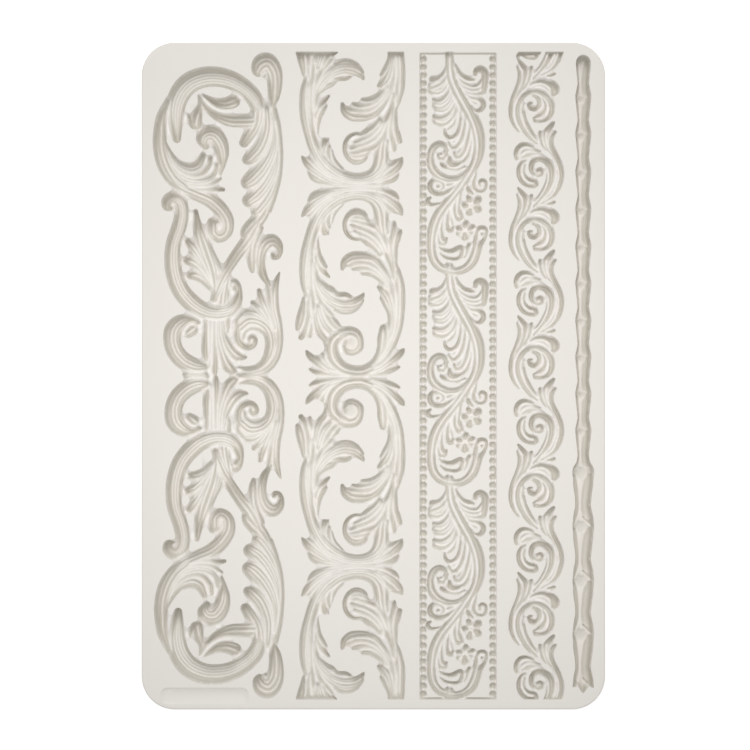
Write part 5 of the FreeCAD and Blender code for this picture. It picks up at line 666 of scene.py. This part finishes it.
def snapped(x, y, edge, strip, reach):
    """Points near the strip's outline moved onto it, so that the outline is smooth."""
    slope_y, slope_x = np.gradient(strip.edge, GRAIN)
    gx, gy = strip.at(slope_x, x, y), strip.at(slope_y, x, y)
    steepness = gx * gx + gy * gy
    close = (np.abs(edge) < reach) & (steepness > LEAST_STEEPNESS)
    move = np.where(close, edge / np.maximum(steepness, LEAST_STEEPNESS), 0)
    return x - move * gx, y - move * gy, close


# ---------------------------------------------------------------------------------------------------------
# Slab
# ---------------------------------------------------------------------------------------------------------

def outward(x, y, sizes):
    """Distance in from the slab's rounded outline, and the outward direction there."""
    half_x, half_y, r = (high[0] - low[0]) / 2, (high[1] - low[1]) / 2, sizes.corner_radius
    dx, dy = np.abs(x) - (half_x - r), np.abs(y) - (half_y - r)
    corner = np.hypot(np.maximum(dx, 0), np.maximum(dy, 0))
    distance = r - np.where((dx > 0) | (dy > 0), corner, np.maximum(dx, dy))
    return distance, np.sign(x) * np.maximum(dx, 0) / r, np.sign(y) * np.maximum(dy, 0) / r


def slab_mesh(sizes, made):
    """Closed slab with the ornament of the finished strips sunk into its top face."""
    half_x, half_y = (high[0] - low[0]) / 2, (high[1] - low[1]) / 2
    r, soft = sizes.corner_radius, sizes.edge_rounding
    bm = bmesh.new()
    bmesh.ops.create_grid(bm, x_segments=round(2 * half_x / sizes.mesh_step),
                          y_segments=round(2 * half_y / sizes.mesh_step), size=1)
    bmesh.ops.scale(bm, vec=(half_x, half_y, 1), verts=bm.verts)
    mesh = bpy.data.meshes.new("mould_body_relief")
    bm.to_mesh(mesh)
    bm.free()

    places = np.empty(len(mesh.vertices) * 3)
    mesh.vertices.foreach_get("co", places)
    x, y, z = places.reshape(-1, 3).T.copy()
    dx, dy = np.maximum(np.abs(x) - (half_x - r), 0), np.maximum(np.abs(y) - (half_y - r), 0)
    pull = np.where((dx > 0) & (dy > 0), np.maximum(dx, dy) / (np.hypot(dx, dy) + 1e-12), 1)
    x = np.where(dx > 0, np.sign(x) * (half_x - r + dx * pull), x)
    y = np.where(dy > 0, np.sign(y) * (half_y - r + dy * pull), y)
    sunk = np.zeros_like(x)
    for strip in made:
        near = np.flatnonzero((x / MM > strip.xs[0]) & (x / MM < strip.xs[-1]))
        edge = strip.at(strip.edge, x[near] / MM, y[near] / MM)
        depth = strip.at(strip.sunk, x[near] / MM, y[near] / MM)
        new_x, new_y, close = snapped(x[near] / MM, y[near] / MM, edge, strip,
                                      SNAP_SHARE * sizes.mesh_step / MM)
        x[near], y[near] = new_x * MM, new_y * MM
        sunk[near] = np.maximum(sunk[near], np.where(close | (edge < 0), 0, depth) * MM)
    distance, _, _ = outward(x, y, sizes)
    rim = np.clip(distance / soft, 0, 1)
    z = high[2] - soft * (1 - np.sqrt(1 - (1 - rim) ** 2)) - sunk
    z = np.minimum(z, high[2] - plaque_depth(x, y, sizes))
    mesh.vertices.foreach_set("co", np.stack([x, y, z], axis=1).ravel())

    bm = bmesh.new()
    bm.from_mesh(mesh)
    rim_edges = [e for e in bm.edges if e.is_boundary]
    for step in range(RIM_STEPS + 1):
        angle = math.pi / 2 * step / RIM_STEPS
        grown = bmesh.ops.extrude_edge_only(bm, edges=rim_edges)["geom"]
        rim_edges = [g for g in grown if isinstance(g, bmesh.types.BMEdge) and g.is_boundary]
        inset = soft * (1 - math.cos(angle))
        previous = soft * (1 - math.cos(max(angle - math.pi / 2 / RIM_STEPS, 0)))
        for vert in {v for e in rim_edges for v in e.verts}:
            _, nx, ny = outward(vert.co.x, vert.co.y, sizes)
            length = math.hypot(nx, ny) or 1.0
            vert.co.x -= nx / length * (inset - previous)
            vert.co.y -= ny / length * (inset - previous)
            vert.co.z = low[2] + soft * (1 - math.sin(angle))
    bmesh.ops.edgeloop_fill(bm, edges=rim_edges)
    bmesh.ops.recalc_face_normals(bm, faces=bm.faces)
    bm.to_mesh(mesh)
    bm.free()
    return mesh


def mark_painted_shade(mesh, made):
    """Stores the painted shade masks: how deep each vertex lies below the face, and how far in creases or on ridges.
    """
    places = np.empty(len(mesh.vertices) * 3)
    mesh.vertices.foreach_get("co", places)
    x, y, z = places.reshape(-1, 3).T / MM
    crease_shade = np.zeros_like(x)
    for strip in made:
        near = np.flatnonzero((x > strip.xs[0]) & (x < strip.xs[-1]) & (z > low[2] / MM + 1))
        value = strip.at(strip.crease_shade, x[near], y[near])
        crease_shade[near] = np.where(np.abs(value) > np.abs(crease_shade[near]), value, crease_shade[near])
    crease_shade[z > high[2] / MM - FLAT] = 0
    depth = np.where(z > low[2] / MM + 1, high[2] / MM - z, 0)
    # painted shade masks: deeper points and creases are painted darker, ridges paler than the flat face
    for name, values in (("crease_shade", np.clip(FLAT_SHADE + CREASE_SHADE_GAIN * crease_shade, 0, 1)),
                         ("depth", np.clip(depth / FULL_SHADE_DEPTH, 0, 1))):
        mesh.attributes.new(name, "FLOAT", "POINT").data.foreach_set("value", values.astype(np.float32))


def finish_shading(mesh):
    """Smooth shading with a crisp edge round the flat face, so that the flat face stays flat."""
    mesh.shade_smooth()
    mesh.set_sharp_from_angle(angle=math.radians(SHARP_ANGLE))
    bm = bmesh.new()
    bm.from_mesh(mesh)
    for vert in bm.verts:
        vert.co.z = min(max(vert.co.z, low[2]), high[2])
    flat = {face.index for face in bm.faces if all(v.co.z > high[2] - FLAT * MM for v in face.verts)}
    for edge in bm.edges:
        if len({face.index in flat for face in edge.link_faces}) == 2:
            edge.smooth = False
    bm.to_mesh(mesh)
    bm.free()


def plaque_depth(x, y, sizes):
    """Depth of the bare plaque sunk into the bottom left corner."""
    half_l, half_h = sizes.plaque_length / 2, sizes.plaque_height / 2
    px, py = x - (low[0] + sizes.plaque_inset + half_l), y - (low[1] + sizes.plaque_rise + half_h)
    r = sizes.plaque_corner
    dx, dy = np.abs(px) - (half_l - r), np.abs(py) - (half_h - r)
    inside = r - np.hypot(np.maximum(dx, 0), np.maximum(dy, 0)) - np.minimum(np.maximum(dx, dy), 0)
    return sizes.plaque_depth * np.clip(inside / PLAQUE_WALL, 0, 1)


# ---------------------------------------------------------------------------------------------------------
# Silicone
# ---------------------------------------------------------------------------------------------------------

def grain_group():
    """Shader nodes that give the silicone its faint clouding, its grain and its fine bumps."""
    group = bpy.data.node_groups.new("Silicone grain", "ShaderNodeTree")
    group.interface.new_socket("Scale", in_out="INPUT", socket_type="NodeSocketFloat").default_value = 1.0
    for name in ("Cloud", "Grain", "Height"):
        group.interface.new_socket(name, in_out="OUTPUT", socket_type="NodeSocketFloat")
    nodes, links = group.nodes, group.links
    inlet, outlet = nodes.new("NodeGroupInput"), nodes.new("NodeGroupOutput")
    place = nodes.new("ShaderNodeTexCoord")
    sized = nodes.new("ShaderNodeVectorMath")
    sized.operation = "SCALE"
    links.new(place.outputs["Object"], sized.inputs[0])
    links.new(inlet.outputs["Scale"], sized.inputs["Scale"])
    results = []
    for frequency, detail in ((14.0, 2.0), (900.0, 3.0), (2600.0, 2.0)):
        noise = nodes.new("ShaderNodeTexNoise")
        noise.inputs["Scale"].default_value = frequency
        noise.inputs["Detail"].default_value = detail
        links.new(sized.outputs[0], noise.inputs["Vector"])
        results.append(noise.outputs["Fac"])
    for value, name in zip(results, ("Cloud", "Grain", "Height")):
        links.new(value, outlet.inputs[name])
    return group


def silicone(colours):
    """Matt silicone with painted shade: darker down in the recesses and in their creases, ridges painted paler."""
    material = bpy.data.materials.new("Pale silicone")
    material.use_nodes = True
    nodes, links = material.node_tree.nodes, material.node_tree.links
    shader = nodes["Principled BSDF"]
    grain = nodes.new("ShaderNodeGroup")
    grain.node_tree = grain_group()
    tint = grain.outputs["Cloud"]
    layers = [((*colours.silicone, 1), (*colours.silicone_cloud, 1), tint)]
    # painted shade: the silicone's colour is multiplied darker with depth and in creases
    for name, shade_colour in (("depth", colours.recess_shade), ("crease_shade", colours.crease_shade)):
        attribute = nodes.new("ShaderNodeAttribute")
        attribute.attribute_name = name
        layers.append((None, (*shade_colour, 1), attribute.outputs["Fac"]))
    result = None
    for below, above, factor in layers:
        mix = nodes.new("ShaderNodeMix")
        mix.data_type = "RGBA"
        if result is None:
            mix.inputs[6].default_value = below
        else:
            mix.blend_type = "MULTIPLY"
            links.new(result, mix.inputs[6])
        mix.inputs[7].default_value = above
        links.new(factor, mix.inputs[0])
        result = mix.outputs[2]
    links.new(result, shader.inputs["Base Color"])
    rough = nodes.new("ShaderNodeMapRange")
    rough.inputs["To Min"].default_value = 0.5
    rough.inputs["To Max"].default_value = 0.68
    links.new(grain.outputs["Grain"], rough.inputs["Value"])
    links.new(rough.outputs["Result"], shader.inputs["Roughness"])
    bump = nodes.new("ShaderNodeBump")
    bump.inputs["Strength"].default_value = 0.05
    bump.inputs["Distance"].default_value = 0.0002
    links.new(grain.outputs["Height"], bump.inputs["Height"])
    links.new(bump.outputs["Normal"], shader.inputs["Normal"])
    shader.inputs["Specular IOR Level"].default_value = 0.35
    return material


# ---------------------------------------------------------------------------------------------------------
# Settings and operators
# ---------------------------------------------------------------------------------------------------------

def length(name, description, default):
    """A size setting, shown as a length."""
    return bpy.props.FloatProperty(name=name, description=description, default=default, min=0, precision=5,
                                   unit="LENGTH")


def colour(name, description, default):
    """A colour setting."""
    return bpy.props.FloatVectorProperty(name=name, description=description, default=default, min=0, max=1,
                                         subtype="COLOR")


class MouldSizes(bpy.types.PropertyGroup):
    """Sizes of the mould that a user may change"""
    corner_radius: length("Corner radius", "Radius of the slab's corners, seen from above", 10.5 * MM)
    edge_rounding: length("Edge rounding", "Radius of the slab's soft edges", 0.8 * MM)
    acanthus_depth: length("Acanthus depth", "Depth of the acanthus border", 5.0 * MM)
    broad_depth: length("Broad scroll depth", "Depth of the broad scroll border", 4.9 * MM)
    flower_depth: length("Flower border depth", "Depth of the flower border", 3.2 * MM)
    bead_depth: length("Bead depth", "Depth of the bead rows", 2.2 * MM)
    channel_depth: length("Channel depth", "Depth of the channels under the beads", 1.2 * MM)
    vine_depth: length("Vine depth", "Depth of the vine border", 3.6 * MM)
    bamboo_depth: length("Bamboo depth", "Depth of the bamboo rod", 5.0 * MM)
    plaque_length: length("Plaque length", "Length of the bare plaque", 27.8 * MM)
    plaque_height: length("Plaque height", "Height of the bare plaque", 5.2 * MM)
    plaque_depth: length("Plaque depth", "Depth of the bare plaque", 0.6 * MM)
    plaque_corner: length("Plaque corner", "Radius of the bare plaque's corners", 2.2 * MM)
    plaque_inset: length("Plaque inset", "From the slab's left edge to the plaque", 6 * MM)
    plaque_rise: length("Plaque rise", "From the slab's lower edge to the plaque", 1.8 * MM)
    mesh_step: length("Mesh step", "Spacing of the relief before it is thinned", 0.2 * MM)


class MouldColours(bpy.types.PropertyGroup):
    """Colours of the silicone, of its painted shade and of the table"""
    silicone: colour("Silicone", "Main colour of the silicone", (0.92, 0.886, 0.842))
    silicone_cloud: colour("Clouding", "Colour that the silicone drifts towards", (0.905, 0.87, 0.823))
    # painted shade: how dark the deepest recesses are painted
    recess_shade: colour("Recess", "What the deepest recesses keep of the silicone's colour", (0.99, 0.99, 0.98))
    # painted shade: how dark the deepest creases are painted; ridges are painted paler than the flat face
    crease_shade: colour("Crease", "What the deepest creases keep of the silicone's colour", (0.70, 0.695, 0.66))
    floor: colour("Floor", "Colour of the table", (0.9, 0.9, 0.9))


class MOULD_OT_body(bpy.types.Operator):
    """Build the silicone slab with its five sunken borders"""
    bl_idname = "mould.body"
    bl_label = "Silicone body"

    def execute(self, context):
        scene = context.scene
        made = list(strips(scene.mould_sizes))
        mesh = slab_mesh(scene.mould_sizes, made)
        body = bpy.data.objects.new("silicone_mould", mesh)
        scene.collection.objects.link(body)
        thin = body.modifiers.new("Thin", "DECIMATE")
        triangles = sum(len(p.vertices) - 2 for p in mesh.polygons)
        thin.ratio = TRIANGLES / triangles
        thin.use_collapse_triangulate = True
        context.view_layer.update()
        body.data = bpy.data.meshes.new_from_object(body.evaluated_get(context.evaluated_depsgraph_get()))
        body.modifiers.clear()
        finish_shading(body.data)
        mark_painted_shade(body.data, made)
        body.data.materials.clear()
        body.data.materials.append(silicone(scene.mould_colours))
        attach(body, "root")
        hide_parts("mould_body")
        return {"FINISHED"}


TABLE_SIZE = 3.0        # half the table's side, in metres
TABLE_GAP = 0.0001      # how far the table lies below the mould
TABLE_GLOW = 0.5        # what the table adds for the camera, so that it looks white
WINDOW_PLACE = (-0.05, 0.75, 1.05)
WINDOW_SIZE = 0.6
WINDOW_POWER = 4.6
OVERHEAD_PLACE = (-0.01, 0.01, 1.3)
OVERHEAD_CONE = 12.5    # degrees; it leaves the mould's corners a little darker than its middle
OVERHEAD_SIZE = 0.06
OVERHEAD_POWER = 14
WORLD_LIGHT = 0.61      # strength of the light that comes from all around
CAMERA_HEIGHT = 0.6     # above the mould's face
CAMERA_SHIFT = (0.0005, 0.0003)
CAMERA_LENS = 91.6


class MOULD_OT_stage(bpy.types.Operator):
    """Set up the pale table, the soft lamps and the camera above the mould"""
    bl_idname = "mould.stage"
    bl_label = "Table, lamps and camera"

    def execute(self, context):
        scene = context.scene
        bm = bmesh.new()
        bmesh.ops.create_grid(bm, x_segments=1, y_segments=1, size=TABLE_SIZE)
        bmesh.ops.translate(bm, vec=(0, 0, low[2] - TABLE_GAP), verts=bm.verts)
        mesh = bpy.data.meshes.new("table")
        bm.to_mesh(mesh)
        bm.free()
        table = bpy.data.objects.new("table", mesh)
        scene.collection.objects.link(table)
        table.data.materials.append(table_material(scene.mould_colours))

        window = bpy.data.lights.new("window", "AREA")
        window.shape, window.size, window.energy = "DISK", WINDOW_SIZE, WINDOW_POWER
        overhead = bpy.data.lights.new("overhead", "SPOT")
        overhead.spot_size, overhead.spot_blend = math.radians(OVERHEAD_CONE), 1.0
        overhead.shadow_soft_size, overhead.energy = OVERHEAD_SIZE, OVERHEAD_POWER
        for light, place in ((window, WINDOW_PLACE), (overhead, OVERHEAD_PLACE)):
            lamp = bpy.data.objects.new(light.name, light)
            lamp.location = place
            lamp.rotation_euler = lamp.location.to_track_quat("Z", "Y").to_euler()
            scene.collection.objects.link(lamp)

        scene.world = studio_world()

        camera = bpy.data.objects.new("camera", bpy.data.cameras.new("camera"))
        camera.location = (*CAMERA_SHIFT, high[2] + CAMERA_HEIGHT)
        camera.data.lens = CAMERA_LENS
        scene.collection.objects.link(camera)
        scene.camera = camera
        scene.view_settings.view_transform = "Standard"
        return {"FINISHED"}


def studio_world():
    """White surroundings that light the mould softly and look plain white to the camera."""
    world = bpy.data.worlds.new("studio")
    world.use_nodes = True
    nodes, links = world.node_tree.nodes, world.node_tree.links
    background = nodes["Background"]
    background.inputs["Color"].default_value = (1, 1, 1, 1)
    ray = nodes.new("ShaderNodeLightPath")
    strength = nodes.new("ShaderNodeMapRange")
    strength.inputs["To Min"].default_value = WORLD_LIGHT
    strength.inputs["To Max"].default_value = 1.0
    links.new(ray.outputs["Is Camera Ray"], strength.inputs["Value"])
    links.new(strength.outputs["Result"], background.inputs["Strength"])
    return world


def table_material(colours):
    """White table that looks white to the camera and keeps the mould's shadow."""
    material = bpy.data.materials.new("White table")
    material.use_nodes = True
    nodes, links = material.node_tree.nodes, material.node_tree.links
    shader = nodes["Principled BSDF"]
    shader.inputs["Base Color"].default_value = (*colours.floor, 1)
    shader.inputs["Roughness"].default_value = 0.9
    shader.inputs["Emission Color"].default_value = (1, 1, 1, 1)
    ray = nodes.new("ShaderNodeLightPath")
    glow = nodes.new("ShaderNodeMath")
    glow.operation = "MULTIPLY"
    glow.inputs[1].default_value = TABLE_GLOW
    links.new(ray.outputs["Is Camera Ray"], glow.inputs[0])
    links.new(glow.outputs[0], shader.inputs["Emission Strength"])
    return material


class MOULD_PT_panel(bpy.types.Panel):
    """Lists the steps that build the mould"""
    bl_idname = "MOULD_PT_panel"
    bl_label = "Silicone border mould"
    bl_space_type = "VIEW_3D"
    bl_region_type = "UI"
    bl_category = "Mould"

    def draw(self, context):
        for step in STEPS:
            self.layout.operator(step.bl_idname)
        for group in (context.scene.mould_sizes, context.scene.mould_colours):
            box = self.layout.box()
            for name in group.__annotations__:
                box.prop(group, name)


STEPS = (MOULD_OT_body, MOULD_OT_stage)
CLASSES = (MouldSizes, MouldColours) + STEPS + (MOULD_PT_panel,)


def register():
    for item in CLASSES:
        bpy.utils.register_class(item)
    bpy.types.Scene.mould_sizes = bpy.props.PointerProperty(type=MouldSizes)
    bpy.types.Scene.mould_colours = bpy.props.PointerProperty(type=MouldColours)


def unregister():
    del bpy.types.Scene.mould_colours
    del bpy.types.Scene.mould_sizes
    for item in reversed(CLASSES):
        bpy.utils.unregister_class(item)


def main():
    register()
    bpy.ops.mould.body()
    bpy.ops.mould.stage()


if __name__ == "__main__":
    main()
